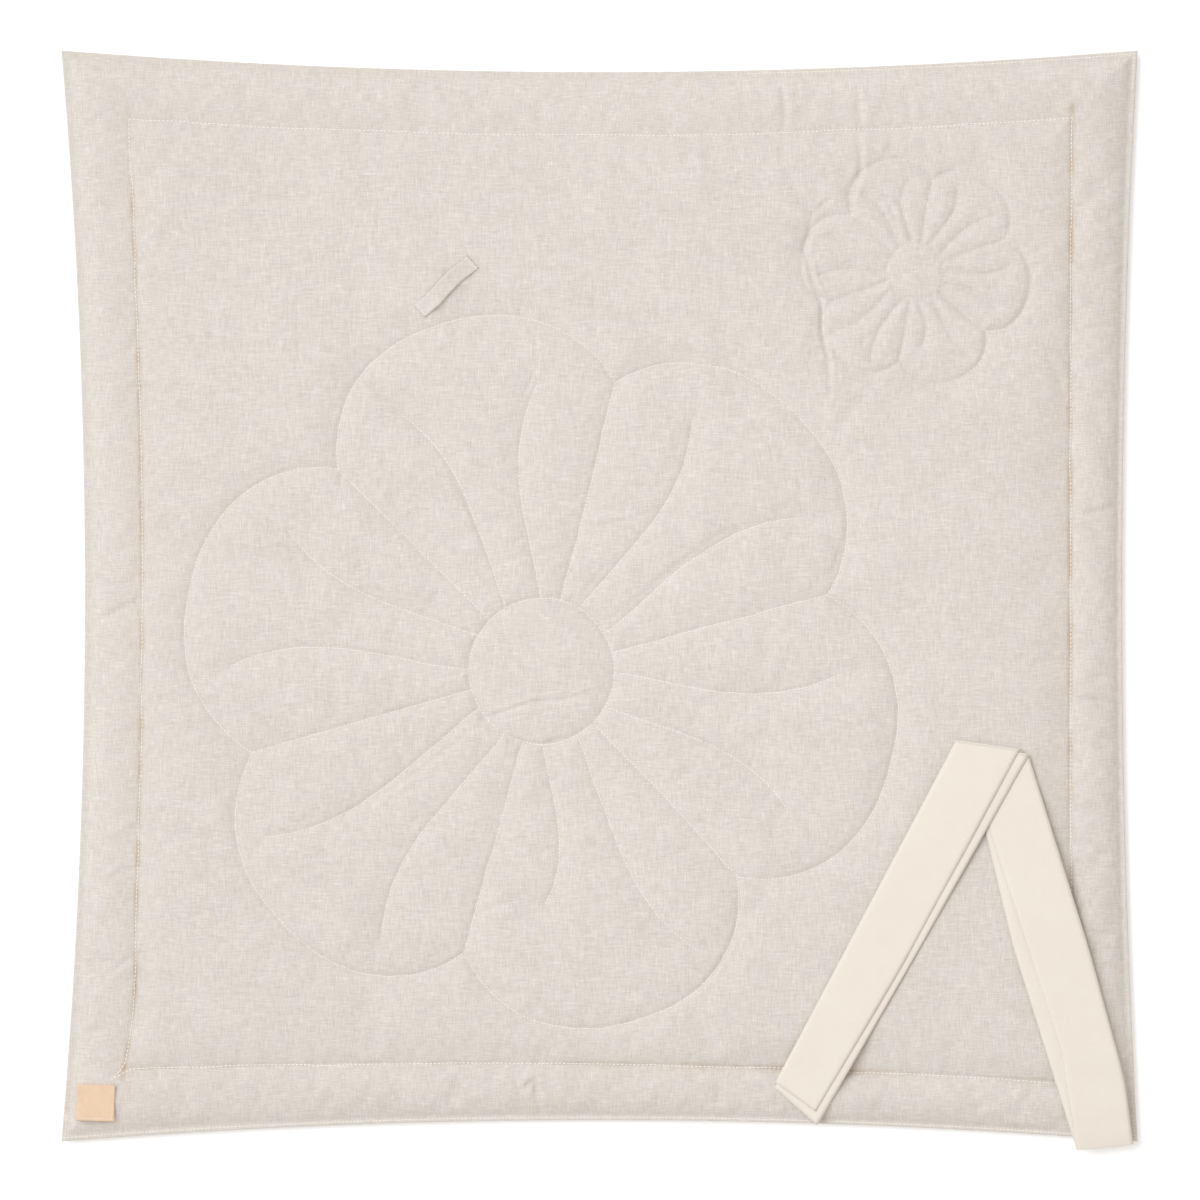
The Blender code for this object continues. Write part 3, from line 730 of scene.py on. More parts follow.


def cloth_material(name, dark, light, yarns, slub_length, slub_width, slub_tone, patch_tone,
                   relief, roughness=0.92, sheen=0.15, turn=0.0, thick_tone=0.0, cool=None,
                   seam_shade_tint=None, rumple=0.0):
    """Cloth whose tone follows its slubs and patches; dark and light are its two yarn colours."""
    material, tree, skin, place = new_material(name, roughness, sheen)
    if turn:
        place = add_node(tree, "ShaderNodeMapping", {},
                         {"Vector": place, "Rotation": (0.0, 0.0, turn)}).outputs[0]
    weave = place_group(tree, WEAVE_GROUP, {"Vector": place, "Yarns per metre": yarns,
                                            "Slub length": slub_length, "Slub width": slub_width})
    patches = place_group(tree, MOTTLE_GROUP, {"Vector": place, "Patch size": 0.04}).outputs[0]
    tone = math_node(tree, "MULTIPLY_ADD", weave.outputs[0], slub_tone, 0.5)
    tone = math_node(tree, "MULTIPLY_ADD", patches, patch_tone, tone)
    tone = math_node(tree, "MULTIPLY_ADD", weave.outputs[1], 0.06, tone)
    tone = math_node(tree, "MULTIPLY_ADD", weave.outputs[3], thick_tone, tone)
    clamped = add_node(tree, "ShaderNodeClamp", {}, {0: tone}).outputs[0]
    colour = ramp_colour(tree, clamped, dark, light)
    if cool:
        faded = place_group(tree, MOTTLE_GROUP, {"Vector": place, "Patch size": 0.022}).outputs[0]
        mask = add_node(tree, "ShaderNodeMapRange", {}, {0: faded, 1: 0.02, 2: 0.45}).outputs[0]
        colour = shaded(tree, colour, mask, cool)
    # painted shade: the colour darkens to a warm brown where the cover's seam attribute is high, in the
    # valleys beside the border stitching
    if seam_shade_tint:
        seam_shade = add_node(tree, "ShaderNodeAttribute", {"attribute_name": PAINTED_SEAM_SHADE}).outputs["Fac"]
        colour = shaded(tree, colour, seam_shade, seam_shade_tint)
    tree.links.new(colour, skin.inputs["Base Color"])
    height = math_node(tree, "MULTIPLY_ADD", patches, rumple, weave.outputs[2])
    bump(tree, skin, height, 0.35, relief)
    return material


LINEN_DARK = (0.600, 0.545, 0.485)
LINEN_LIGHT = (0.850, 0.792, 0.726)
# the linen's warm brown tint is painted shade in the valleys beside the border stitching
linen = cloth_material("natural linen", LINEN_DARK, LINEN_LIGHT, 1450.0, 0.011, 0.0011,
                       0.56, 0.13, 0.00055, thick_tone=0.34, cool=(0.995, 0.99, 1.035),
                       seam_shade_tint=(0.80, 0.64, 0.50))
backing = cloth_material("linen backing", (0.520, 0.465, 0.408), (0.735, 0.690, 0.636), 1300.0,
                         0.010, 0.0012, 0.28, 0.20, 0.00035)
wadding = cloth_material("wadding fleece", (0.78, 0.77, 0.74), (0.90, 0.89, 0.87), 420.0,
                         0.006, 0.0030, 0.35, 0.30, 0.0012, sheen=0.3)
cotton, cotton_right = [
    cloth_material(name, (0.795, 0.709, 0.613), (0.886, 0.820, 0.739), 1900.0, 0.020, 0.0010, 0.26,
                   0.24, 0.00022, sheen=0.2, turn=math.radians(turn), rumple=5.0)
    for name, turn in (("cream cotton", -27.8), ("cream cotton, right leg", 15.9))]


def thread_material():
    """Spun thread: fine bands across the stitch where the plies turn."""
    material, tree, skin, place = new_material("sewing thread", 0.55, 0.1)
    plies = stretched_noise(tree, place, (1900.0, 1900.0, 1900.0), 1.0)
    tone = math_node(tree, "MULTIPLY_ADD", plies, 0.5, 0.5)
    colour = ramp_colour(tree, tone, (0.90, 0.86, 0.79), (0.98, 0.96, 0.91))
    tree.links.new(colour, skin.inputs["Base Color"])
    bump(tree, skin, plies, 0.4, 0.0002)
    return material


thread = thread_material()


def leather_material():
    """Vegetable-tanned leather: a pebbled grain, pores and a slightly darker, drier mottle."""
    material, tree, skin, place = new_material("tan leather", 0.52, 0.0)
    cells = add_node(tree, "ShaderNodeTexVoronoi", {"feature": "DISTANCE_TO_EDGE"},
                     {"Vector": place, "Scale": 900.0})
    grain = add_node(tree, "ShaderNodeMapRange", {}, {0: cells.outputs[0], 1: 0.0, 2: 0.12})
    patches = place_group(tree, MOTTLE_GROUP, {"Vector": place, "Patch size": 0.009}).outputs[0]
    fine = place_group(tree, MOTTLE_GROUP, {"Vector": place, "Patch size": 0.0012}).outputs[0]
    tone = math_node(tree, "MULTIPLY_ADD", patches, 0.35, 0.5)
    tone = math_node(tree, "MULTIPLY_ADD", fine, 0.15, tone)
    colour = ramp_colour(tree, tone, (0.717, 0.497, 0.333), (0.912, 0.697, 0.507))
    tree.links.new(colour, skin.inputs["Base Color"])
    rough = math_node(tree, "MULTIPLY_ADD", fine, 0.10, 0.52)
    tree.links.new(rough, skin.inputs["Roughness"])
    height = math_node(tree, "MULTIPLY_ADD", fine, 0.5, grain.outputs[0])
    bump(tree, skin, height, 0.4, 0.00015)
    return material


leather = leather_material()


# ---- The covers ----

FIELD_STEPS = 501
SETTLE_STEP = 3              # the cloth settles on a grid this many times coarser
PINCH_REACH = 0.0035         # how far from the thread the cloth is held while it settles
SPARE_CLOTH = 0.005          # extra cloth that the sewing gathers in, as a share
SETTLE_FRAMES = 18
PUFF_PRESSURE = 1.5
MOST_PUFF = 0.0022           # the padding lets the cloth out no further than this
CLOTH_SETTINGS = {"quality": 4, "mass": 0.15, "tension_stiffness": 15, "compression_stiffness": 15,
                  "shear_stiffness": 5, "bending_stiffness": 0.4, "pin_stiffness": 1.0,
                  "shrink_min": -SPARE_CLOTH, "use_pressure": True,
                  "uniform_pressure_force": PUFF_PRESSURE}


def settled_moves(points, held):
    """Cloth simulation: how far each point of a grid of cloth moves while it fills out."""
    count_x, count_y = held.shape
    mesh = bpy.data.meshes.new("settling cloth")
    mesh.from_pydata(points.reshape(-1, 3).tolist(), [], grid_quads(count_x, count_y).tolist())
    piece = placed_object("settling cloth", mesh)
    group = piece.vertex_groups.new(name="held by the sewing")
    levels = np.round(held.ravel() * 20) / 20
    for level in np.unique(levels):
        if level > 0:
            group.add(np.flatnonzero(levels == level).tolist(), float(level), "REPLACE")
    cloth = piece.modifiers.new("cloth", "CLOTH")
    for setting, value in CLOTH_SETTINGS.items():
        setattr(cloth.settings, setting, value)
    cloth.settings.vertex_group_mass = group.name
    cloth.settings.effector_weights.gravity = 0.0
    cloth.collision_settings.use_collision = False
    cloth.collision_settings.use_self_collision = False
    cloth.point_cache.frame_start = 1
    cloth.point_cache.frame_end = SETTLE_FRAMES
    for frame_number in range(1, SETTLE_FRAMES + 1):
        bpy.context.scene.frame_set(frame_number)
    settled = piece.evaluated_get(bpy.context.evaluated_depsgraph_get())
    result = np.empty(len(points.reshape(-1, 3)) * 3)
    settled.data.vertices.foreach_get("co", result)
    moves = result.reshape(count_x, count_y, 3) - points
    bpy.data.objects.remove(piece, do_unlink=True)
    bpy.data.meshes.remove(mesh)
    bpy.context.scene.frame_set(1)
    size = np.linalg.norm(moves, axis=2, keepdims=True)
    return moves * (MOST_PUFF * np.tanh(size / MOST_PUFF) / np.maximum(size, 1e-9))


def refined(grid, factor):
    """A coarse grid on finer stations, rounded as a subdivision would leave it."""
    for axis in (0, 1):
        grid = np.moveaxis(grid, axis, 0)
        fine = np.arange(factor * (len(grid) - 1) + 1) / factor
        first = np.minimum(fine.astype(int), len(grid) - 2)
        mix = (fine - first).reshape((-1,) + (1,) * (grid.ndim - 1))
        grid = grid[first] * (1 - mix) + grid[first + 1] * mix
        for _ in range(factor - 1):
            grid[1:-1] = (grid[:-2] + 2 * grid[1:-1] + grid[2:]) / 4
        grid = np.moveaxis(grid, 0, axis)
    return grid


def lowest_nearby(grid, reach):
    low = grid.copy()
    for axis in (0, 1):
        for _ in range(reach):
            ahead, behind = np.roll(low, -1, axis), np.roll(low, 1, axis)
            if axis == 0:
                ahead[-1], behind[0] = low[-1], low[0]
            else:
                ahead[:, -1], behind[:, 0] = low[:, -1], low[:, 0]
            low = np.minimum(low, np.minimum(ahead, behind))
    return low


COVER_X, COVER_Y = grid_points(BORDER_SHARES, FIELD_STEPS, FIELD_STEPS)
COVER_SHARE = share_at(COVER_X, COVER_Y)
STITCHING = nearest_stitching(COVER_X, COVER_Y)


def front_surface():
    height = front_height(COVER_X, COVER_Y, STITCHING)
    points = np.stack((COVER_X, COVER_Y, height), axis=-1)
    few = slice(None, None, SETTLE_STEP)
    share = COVER_SHARE[few, few]
    near_thread = np.exp(-(STITCHING[0][few, few] / PINCH_REACH) ** 2)
    at_border = np.exp(-((share - 1.0) / 0.06) ** 2)
    at_rim = (share < RIM_SHARE + 0.01).astype(float)
    held = np.maximum(np.maximum(near_thread, at_border), at_rim)
    points += refined(settled_moves(points[few, few], held), SETTLE_STEP)
    points[:, :, 2] -= crease_relief(COVER_X, COVER_Y)
    return pressed_flat(points)


def pressed_flat(points):
    """The cover lies flat beneath the label."""
    x, y = points[:, :, 0] - LABEL_CENTRE[0], points[:, :, 1] - LABEL_CENTRE[1]
    beyond = np.maximum(np.abs(x) - LABEL_SIZE[0] / 2, np.abs(y) - LABEL_SIZE[1] / 2)
    cover = LABEL_BOTTOM - LABEL_CLEARANCE
    mix = eased(np.clip(1.0 - beyond / LABEL_PRESS_REACH, 0.0, 1.0))
    lowered = np.minimum(points[:, :, 2], cover)
    points[:, :, 2] = points[:, :, 2] * (1 - mix) + lowered * mix
    return points


FRONT_POINTS = front_surface()


def painted_seam_shade(points):
    """Painted warm shade in the valleys beside the border stitching: patchy, along all of it but the far
    side's, and widest on the near side.
    """
    x, y = points[:, 0], points[:, 1]
    shade_amount = np.zeros(len(points))
    near_share = 0.15 + 0.85 * np.clip((x + 0.10) / 0.30, 0.0, 1.0)
    for side, strength, width, patch, seed in (("left", 0.75, 0.0026, 0.022, 71),
                                               ("right", 0.85, 0.0030, 0.022, 72),
                                               ("near", 0.70 * near_share, 0.0056, 0.050, 73)):
        off = np.abs(side_share(side, x, y) - 1.0) * SEAM_SPAN
        patchy = np.clip(0.55 + 0.9 * row_noise(x if side == "near" else y, patch, seed), 0.0, 1.0)
        inside = share_at(x, y) > 0.8
        shade_amount += strength * patchy * inside * np.exp(-(off / width) ** 2)
    return np.minimum(shade_amount, 1.0)


def make_front_cover():
    inner = FRONT_POINTS[::3, ::3].copy()
    inner[:, :, 2] = lowest_nearby(FRONT_POINTS[:, :, 2], 3)[::3, ::3] - LINEN
    inner[:, :, 2] = np.maximum(inner[:, :, 2], SEAM_Z + 0.0003)
    points, faces = closed_sheet(FRONT_POINTS, inner, 3)
    cover = add_piece("front_cover_linen", points, faces, linen)
    # painted shade beside the border stitching, stored on the cover's points for the linen material
    shade_amount = cover.data.attributes.new(PAINTED_SEAM_SHADE, "FLOAT", "POINT")
    shade_amount.data.foreach_set("value", painted_seam_shade(points))
    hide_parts("front_cover")
    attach(cover, "cushion")
    return cover


def make_back_cover():
    height = back_height(COVER_X, COVER_Y, STITCHING)[::3, ::3]
    outer = np.stack((COVER_X[::3, ::3], COVER_Y[::3, ::3], height), axis=-1)
    inner = outer[::5, ::5].copy()
    inner[:, :, 2] = -lowest_nearby(-height, 5)[::5, ::5] + LINEN
    inner[:, :, 2] = np.minimum(inner[:, :, 2], SEAM_Z - 0.0003)
    points, faces = closed_sheet(outer, inner, 5)
    faces = [face[::-1] for face in faces]
    cover = add_piece("back_cover_linen", points, faces, backing)
    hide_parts("back_cover")
    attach(cover, "cushion")
    return cover


def make_wadding(name, low_level, high_level):
    """One layer of the filling, between two levels from the back cover at 0 to the front at 1."""
    inside = slice(24, -24, 4)
    low = -lowest_nearby(-back_height(COVER_X, COVER_Y, STITCHING), 5) + LINEN + 0.0006
    high = lowest_nearby(FRONT_POINTS[:, :, 2], 5) - LINEN - 0.0006
    x, y = COVER_X[inside, inside], COVER_Y[inside, inside]
    low, high = low[inside, inside], high[inside, inside]
    room = np.maximum(high - low, 0.0012)
    under = low + room * low_level + (0.0003 if low_level > 0 else 0.0)
    over = low + room * high_level - (0.0003 if high_level < 1 else 0.0)
    points, faces = closed_sheet(np.stack((x, y, over), axis=-1), np.stack((x, y, under), axis=-1), 1)
    layer = add_piece(name + "_fleece", points, faces, wadding)
    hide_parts(name)
    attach(layer, "cushion")


# ---- Stitches: one tree lays a stitch at every pitch along a line ----

STITCH_SIZES = {"Min": 0.88, "Max": 1.08}     # stitches differ a little in size


def stitch_tree():
    tree = bpy.data.node_groups.new("row of stitches", "GeometryNodeTree")
    tree.is_modifier = True
    for label, kind, direction, value in (
            ("Line", "NodeSocketGeometry", "INPUT", None),
            ("Pitch", "NodeSocketFloat", "INPUT", STITCH_PITCH),
            ("Stitch length", "NodeSocketFloat", "INPUT", STITCH_LENGTH),
            ("Thread thickness", "NodeSocketFloat", "INPUT", STITCH_THICKNESS),
            ("Thread", "NodeSocketMaterial", "INPUT", None),
            ("Stitches", "NodeSocketGeometry", "OUTPUT", None)):
        socket = tree.interface.new_socket(label, in_out=direction, socket_type=kind)
        if value is not None:
            socket.default_value = value
    given, result = tree.nodes.new("NodeGroupInput"), tree.nodes.new("NodeGroupOutput")
    line, pitch, length, thick, finish = given.outputs[:5]

    spaced = add_node(tree, "GeometryNodeResampleCurve", {"mode": "LENGTH"},
                      {"Curve": line, "Length": pitch})
    points = add_node(tree, "GeometryNodeCurveToPoints", {"mode": "EVALUATED"},
                      {"Curve": spaced.outputs[0]})

    # one stitch: a short thread that dips into the cloth at both ends
    half, back, dip, rise, radius = [
        math_node(tree, "MULTIPLY", size, share)
        for size, share in ((length, 0.5), (length, -0.5), (thick, -0.7), (thick, 0.45), (thick, 0.5))]
    ends = []
    for across, up in ((back, dip), (None, rise), (half, dip)):
        links = {"Z": up} if across is None else {"X": across, "Z": up}
        ends.append(add_node(tree, "ShaderNodeCombineXYZ", {}, links).outputs[0])
    arc = add_node(tree, "GeometryNodeCurveQuadraticBezier", {},
                   {"Resolution": 4, "Start": ends[0], "Middle": ends[1], "End": ends[2]})
    outline = add_node(tree, "GeometryNodeCurvePrimitiveCircle", {"mode": "RADIUS"},
                       {"Resolution": 5, "Radius": radius})
    stitch = add_node(tree, "GeometryNodeCurveToMesh", {},
                      {"Curve": arc.outputs[0], "Profile Curve": outline.outputs[0], "Fill Caps": True})
    smooth = add_node(tree, "GeometryNodeSetShadeSmooth", {}, {"Geometry": stitch.outputs[0]})
    turned = add_node(tree, "FunctionNodeAlignEulerToVector", {"axis": "X", "pivot_axis": "Z"},
                      {"Vector": points.outputs["Tangent"]})
    size = add_node(tree, "FunctionNodeRandomValue", {"data_type": "FLOAT"})
    size.inputs["Seed"].default_value = 5
    for socket in size.inputs:
        if socket.enabled and socket.name in STITCH_SIZES:
            socket.default_value = STITCH_SIZES[socket.name]
    scale = [socket for socket in size.outputs if socket.enabled][0]
    placed = add_node(tree, "GeometryNodeInstanceOnPoints", {},
                      {"Points": points.outputs[0], "Instance": smooth.outputs[0],
                       "Rotation": turned.outputs[0], "Scale": scale})
    real = add_node(tree, "GeometryNodeRealizeInstances", {}, {"Geometry": placed.outputs[0]})
    painted = add_node(tree, "GeometryNodeSetMaterial", {},
                       {"Geometry": real.outputs[0], "Material": finish})
    tree.links.new(painted.outputs[0], result.inputs[0])
    return tree


STITCH_TREE = stitch_tree()


def sewn_line(name, points, closed, pitch=STITCH_PITCH, length=STITCH_LENGTH,
              thick=STITCH_THICKNESS):
    """A row of stitches along points, as a plain mesh piece that stands for its CAD thread."""
    curve = bpy.data.curves.new(name, "CURVE")
    curve.dimensions = "3D"
    spline = curve.splines.new("POLY")
    spline.points.add(len(points) - 1)
    spline.points.foreach_set("co", np.column_stack((points, np.ones(len(points)))).ravel())
    spline.use_cyclic_u = closed
    guide = placed_object(name + " guide", curve)
    modifier = guide.modifiers.new("stitches", "NODES")
    modifier.node_group = STITCH_TREE
    sockets = {item.name: item.identifier for item in STITCH_TREE.interface.items_tree
               if item.in_out == "INPUT"}
    modifier[sockets["Pitch"]] = pitch
    modifier[sockets["Stitch length"]] = length
    modifier[sockets["Thread thickness"]] = thick
    modifier[sockets["Thread"]] = thread
    depsgraph = bpy.context.evaluated_depsgraph_get()
    mesh = bpy.data.meshes.new_from_object(guide.evaluated_get(depsgraph), depsgraph=depsgraph)
    bpy.data.objects.remove(guide, do_unlink=True)
    bpy.data.curves.remove(curve)
    row = placed_object(name + "_stitches", mesh)
    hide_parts(name + "_thread")
    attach(row, "cushion")
    return row


FRONT_TREE = KDTree(FRONT_POINTS.shape[0] * FRONT_POINTS.shape[1])
for number, point in enumerate(FRONT_POINTS.reshape(-1, 3)):
    FRONT_TREE.insert((point[0], point[1], 0.0), number)
FRONT_TREE.balance()


def on_front(line, lift=0.0):
    """Points of a line laid on the front cover, from the cover points round each of them."""
    flat = FRONT_POINTS.reshape(-1, 3)
    heights = []
    for x, y in line:
        near = FRONT_TREE.find_n((x, y, 0.0), 4)
        weight = np.array([1.0 / (hit[2] + 1e-5) for hit in near])
        height = np.array([flat[hit[1]][2] for hit in near])
        heights.append((weight * height).sum() / weight.sum())
    return np.column_stack((line, np.array(heights) + lift))


def make_stitches():
    for name, line, closed, _ in RUNS:
        if name == "border_stitch":
            sewn_line(name, on_front(line, lift=0.0006), closed, pitch=0.0043, length=0.0023,
                      thick=0.0012)
        else:
            along = np.arange(len(line)) * RUN_SPACING
            sunk = 0.0003 * row_noise(along, 0.045, 60) + 0.0001 * row_noise(along, 0.012, 61)
            drawn_in = 0.00045 if name.startswith("small") else 0.0
            sewn_line(name, on_front(line, lift=0.0001 + sunk - drawn_in), closed)
    top = resampled(ring(TOPSTITCH_SHARE), True, 0.001)
    x, y = top[:, 0], top[:, 1]
    shown = (y < -0.53) | ((y > 0.52) & (x > 0.15))
    sewn_line("edge_topstitch", on_front(top, lift=np.where(shown, 0.0001, -0.0004)), True)
    inner = resampled(ring(SEAM_SHARE), True, 0.002)
    seam = np.column_stack((inner, np.full(len(inner), SEAM_Z)))
    sewn_line("edge_seam", seam, True, pitch=0.004, length=0.0034)


# ---- Strips of cloth: the loop and the strap ----

RIBBON_STEPS = 14            # faces across a strip of cloth


def ribbon(name, centre, across, width, thick, material):
    """A closed strip of cloth with rounded long edges, along rows of centre points."""
    centre = np.array(centre)
    across = np.array(across)
    along = np.gradient(centre, axis=0)
    along /= np.linalg.norm(along, axis=1)[:, None]
    across = across / np.linalg.norm(across, axis=1)[:, None]
    up = np.cross(along, across)
    up /= np.linalg.norm(up, axis=1)[:, None]
    up *= np.where(up[:, 2:] < 0, -1, 1) if np.all(np.abs(up[:, 2]) > 0.2) else 1
    width = np.broadcast_to(width, len(centre))
    places = [index / RIBBON_STEPS - 0.5 for index in range(RIBBON_STEPS + 1)]
    profile = [(place, 0.5) for place in places] + [(place, -0.5) for place in reversed(places)]
    count = len(profile)
    points = []
    for row in range(len(centre)):
        for place, side in profile:
            inset = 1.0 - 0.9 * (abs(2 * place) ** 24)
            points.append(centre[row] + across[row] * width[row] * place
                          + up[row] * thick * side * inset)
    faces = []
    for row in range(len(centre) - 1):
        for column in range(count):
            ahead = (column + 1) % count
            faces.append((row * count + column, row * count + ahead,
                          (row + 1) * count + ahead, (row + 1) * count + column))
    for row, flip in ((0, True), (len(centre) - 1, False)):
        for column in range(RIBBON_STEPS):
            other = count - 1 - column
            face = (row * count + column, row * count + column + 1,
                    row * count + other - 1, row * count + other)
            faces.append(face[::-1] if flip else face)
    piece = add_piece(name, points, faces, material)
    tidy = bmesh.new()
    tidy.from_mesh(piece.data)
    bmesh.ops.recalc_face_normals(tidy, faces=tidy.faces)
    tidy.to_mesh(piece.data)
    tidy.free()
    return piece


LOOP_CENTRE = np.array((-0.157, 0.316))
LOOP_ANGLE = math.radians(42.6)
LOOP_SPAN = 0.064
LOOP_TACK = 0.0055
LOOP_WIDTH = 0.0168
LOOP_ARCH = 0.0024
LOOP_CLOTH = 0.0012


def make_loop():
    along = np.array((math.cos(LOOP_ANGLE), math.sin(LOOP_ANGLE)))
    across = np.array((-along[1], along[0]))
    length = LOOP_SPAN + 2 * LOOP_TACK
    places = np.linspace(-0.5, 0.5, 49)
    rise = np.maximum(0.0, 1.0 - np.abs(2 * places * length / LOOP_SPAN) ** 3.2)
    sway = 0.0011 * np.sin(places * 2 * math.pi * 1.1 + 0.4)
    flat = LOOP_CENTRE + np.outer(places * length, along) + np.outer(sway, across)
    base = on_front(flat)[:, 2]
    base = np.interp(places, (-0.5, 0.5), (base[0], base[-1]))
    height = np.maximum(base, on_front(flat)[:, 2]) + 0.0003 + LOOP_CLOTH / 2 + LOOP_ARCH * rise
    height += 0.0006 * np.sin(places * 19.0) * rise
    centre = np.column_stack((flat, height))
    tilt = 0.10 * rise * np.sin(places * 6.0 + 0.8)
    sideways = np.column_stack((np.tile(across, (len(places), 1)), tilt))
    loop = ribbon("strap_loop_linen", centre, sideways, LOOP_WIDTH, LOOP_CLOTH, linen)
    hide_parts("strap_loop")
    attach(loop, "cushion")
    for number, side in ((1, -1), (2, 1)):
        middle = LOOP_CENTRE + along * side * (length - LOOP_TACK) / 2
        middle = middle + across * np.interp(side * 0.47, places, sway)
        reach = np.linspace(-LOOP_WIDTH / 2 + 0.0016, LOOP_WIDTH / 2 - 0.0016, 12)
        height = np.interp(side * (length - LOOP_TACK) / 2 / length, places, centre[:, 2])
        line = np.column_stack((middle + np.outer(reach, across),
                                np.full(12, height + LOOP_CLOTH / 2)))
        sewn_line(f"loop_tack_{number}", line, False, pitch=0.0024, length=0.0021)


def label_place(u, v):
    """A place on the label's top from shares -0.5 to 0.5 along and across it."""
    x, y = u * LABEL_SIZE[0], v * LABEL_SIZE[1]
    turn_x = x * math.cos(LABEL_TURN) - y * math.sin(LABEL_TURN)
    turn_y = x * math.sin(LABEL_TURN) + y * math.cos(LABEL_TURN)
    return np.stack((LABEL_CENTRE[0] + turn_x, LABEL_CENTRE[1] + turn_y), axis=-1)


def make_label():
    places = np.linspace(-0.5, 0.5, LABEL_STEPS + 1)
    u, v = np.meshgrid(places, places, indexing="ij")
    top = np.concatenate((label_place(u, v), np.zeros(u.shape + (1,))), axis=-1)
    curl = 0.0005 * (np.abs(2 * u) ** 3 + np.abs(2 * v) ** 3) * np.where(v > 0, 1.0, 0.4)
    edge = np.minimum(0.5 - np.abs(u), 0.5 - np.abs(v)) * LABEL_SIZE[0]
    rounded = 0.00045 * (1 - np.minimum(1.0, edge / 0.0011)) ** 2
    inset = LABEL_STITCH_INSET
    pressed = 0.00022 * np.exp(-((edge - inset) / 0.0006) ** 2)
    base = LABEL_HIGH[2] - 0.0001
    top[..., 2] = base + curl - rounded - pressed
    bottom = top.copy()
    bottom[..., 2] = base + curl - LABEL_THICKNESS + 0.6 * rounded
    points, faces = closed_sheet(top, bottom, 1)
    label = add_piece("leather_label_plate", points, faces, leather)
    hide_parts("leather_label")
    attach(label, "cushion")
    side_x, side_y = 0.5 - inset / LABEL_SIZE[0], 0.5 - inset / LABEL_SIZE[1]
    corners = np.array([(-side_x, -side_y), (side_x, -side_y), (side_x, side_y), (-side_x, side_y)])
    path = resampled(corners, True, 0.02)
    line = label_place(path[:, 0], path[:, 1])
    line = np.column_stack((line, np.full(len(line), base + 0.0001)))
    sewn_line("label_stitch", line, True, pitch=0.0026, length=0.0020, thick=0.0005)


# ---- Strap: a long strip folded in half, lying in two legs of two layers each ----
STRAP_CLOTH = 0.0008          # one layer of the strap
LAYER_GAP = 0.0002
REST_LIFT = 0.0014            # the strap rests on the cover's fuzz and small lumps
LEG_LIFT = 0.0025             # the upper leg lies on the lower one beside the crease
OVERLAP = 0.105               # how far along the upper leg this holds,
RAMP = 0.070                  # and how long the leg takes to come down
STRAP_ROWS = 90
# Edges of the layers from the near right corner, each listed from the crease down.
LOWER_LEG_UNDER = (((-0.1777, 0.4053), (-0.1283, 0.2003), (-0.063, -0.0075)),
                   ((-0.1180, 0.3965), (-0.0660, 0.2003), (-0.005, -0.0015)))
LOWER_LEG_OVER = (((-0.1740, 0.4060), (-0.1560, 0.3280), (-0.1130, 0.1975), (-0.0790, 0.0930),
                   (-0.063, -0.0075)),
                  ((-0.1123, 0.3951), (-0.0866, 0.3130), (-0.0500, 0.1958), (-0.0142, 0.0650),
                   (-0.005, -0.0015)))
UPPER_LEG_UNDER = (((-0.1777, 0.4053), (-0.2790, 0.1690), (-0.3718, 0.0560)),
                   ((-0.1123, 0.3951), (-0.2257, 0.1939), (-0.3278, 0.0172)))
UPPER_LEG_OVER = (((-0.1869, 0.4094), (-0.2880, 0.2180), (-0.3707, 0.0611)),
                  ((-0.1215, 0.4002), (-0.2349, 0.1908), (-0.3294, 0.0310)))


def along_edge(points, count):
    """Evenly spaced places on a smooth edge through a few points from the near right corner."""
    points = np.array(points) + np.array((HALF_X, -HALF_Y))
    along = lengths_along(points)
    places = np.linspace(0.0, along[-1], 200)
    smooth = np.column_stack([np.interp(places, along, points[:, axis]) for axis in (0, 1)])
    for _ in range(40):
        smooth[1:-1] = (smooth[:-2] + 2 * smooth[1:-1] + smooth[2:]) / 4
    return smooth[np.linspace(0, 199, count).round().astype(int)]


def bridged_height(left, right):
    """A smooth height over the highest places of the cover beneath a strip."""
    highest = np.full(len(left), -1.0)
    for mix in np.linspace(0.0, 1.0, 9):
        highest = np.maximum(highest, on_front(left * (1 - mix) + right * mix)[:, 2])
    middle = (left + right) / 2
    along = lengths_along(middle)
    reach = along[:, None] - along[None, :]
    bridged = (highest[None, :] - 5.0 * reach ** 2).max(axis=1)
    return bridged + REST_LIFT, along


def layer_rows(edges, level, stacked, under, over):
    """Left and right edges of one layer in 3D; level 0 is the layer beneath, 1 the one on top."""
    left, right = along_edge(edges[0], STRAP_ROWS), along_edge(edges[1], STRAP_ROWS)
    lefts = [along_edge(layer[0], STRAP_ROWS) for layer in (under, over)]
    rights = [along_edge(layer[1], STRAP_ROWS) for layer in (under, over)]
    outer_left = np.where((lefts[0][:, :1] < lefts[1][:, :1]), lefts[0], lefts[1])
    outer_right = np.where((rights[0][:, :1] > rights[1][:, :1]), rights[0], rights[1])
    height, along = bridged_height(outer_left, outer_right)
    if stacked:
        down = np.clip((along - OVERLAP) / RAMP, 0.0, 1.0)
        height = height + LEG_LIFT * (1 - eased(down))
    height = height + STRAP_CLOTH / 2 + level * (STRAP_CLOTH + LAYER_GAP)
    middle = (outer_left + outer_right) / 2
    way = (middle[-1] - middle[0]) / np.linalg.norm(middle[-1] - middle[0])
    height = np.interp(((left + right) / 2 - middle[0]) @ way, (middle - middle[0]) @ way, height)
    sway = 0.0004 * np.sin(along * 31.0 + 1.3 * level) * np.sin(math.pi * along / along[-1])
    left = np.column_stack((left, height + sway + 0.0002))
    right = np.column_stack((right, height - sway + 0.0002))
    return left, right


def strip_from_edges(name, left, right, material):
    across = right - left
    width = np.linalg.norm(across, axis=1)
    return ribbon(name, (left + right) / 2, across, width, STRAP_CLOTH, material)


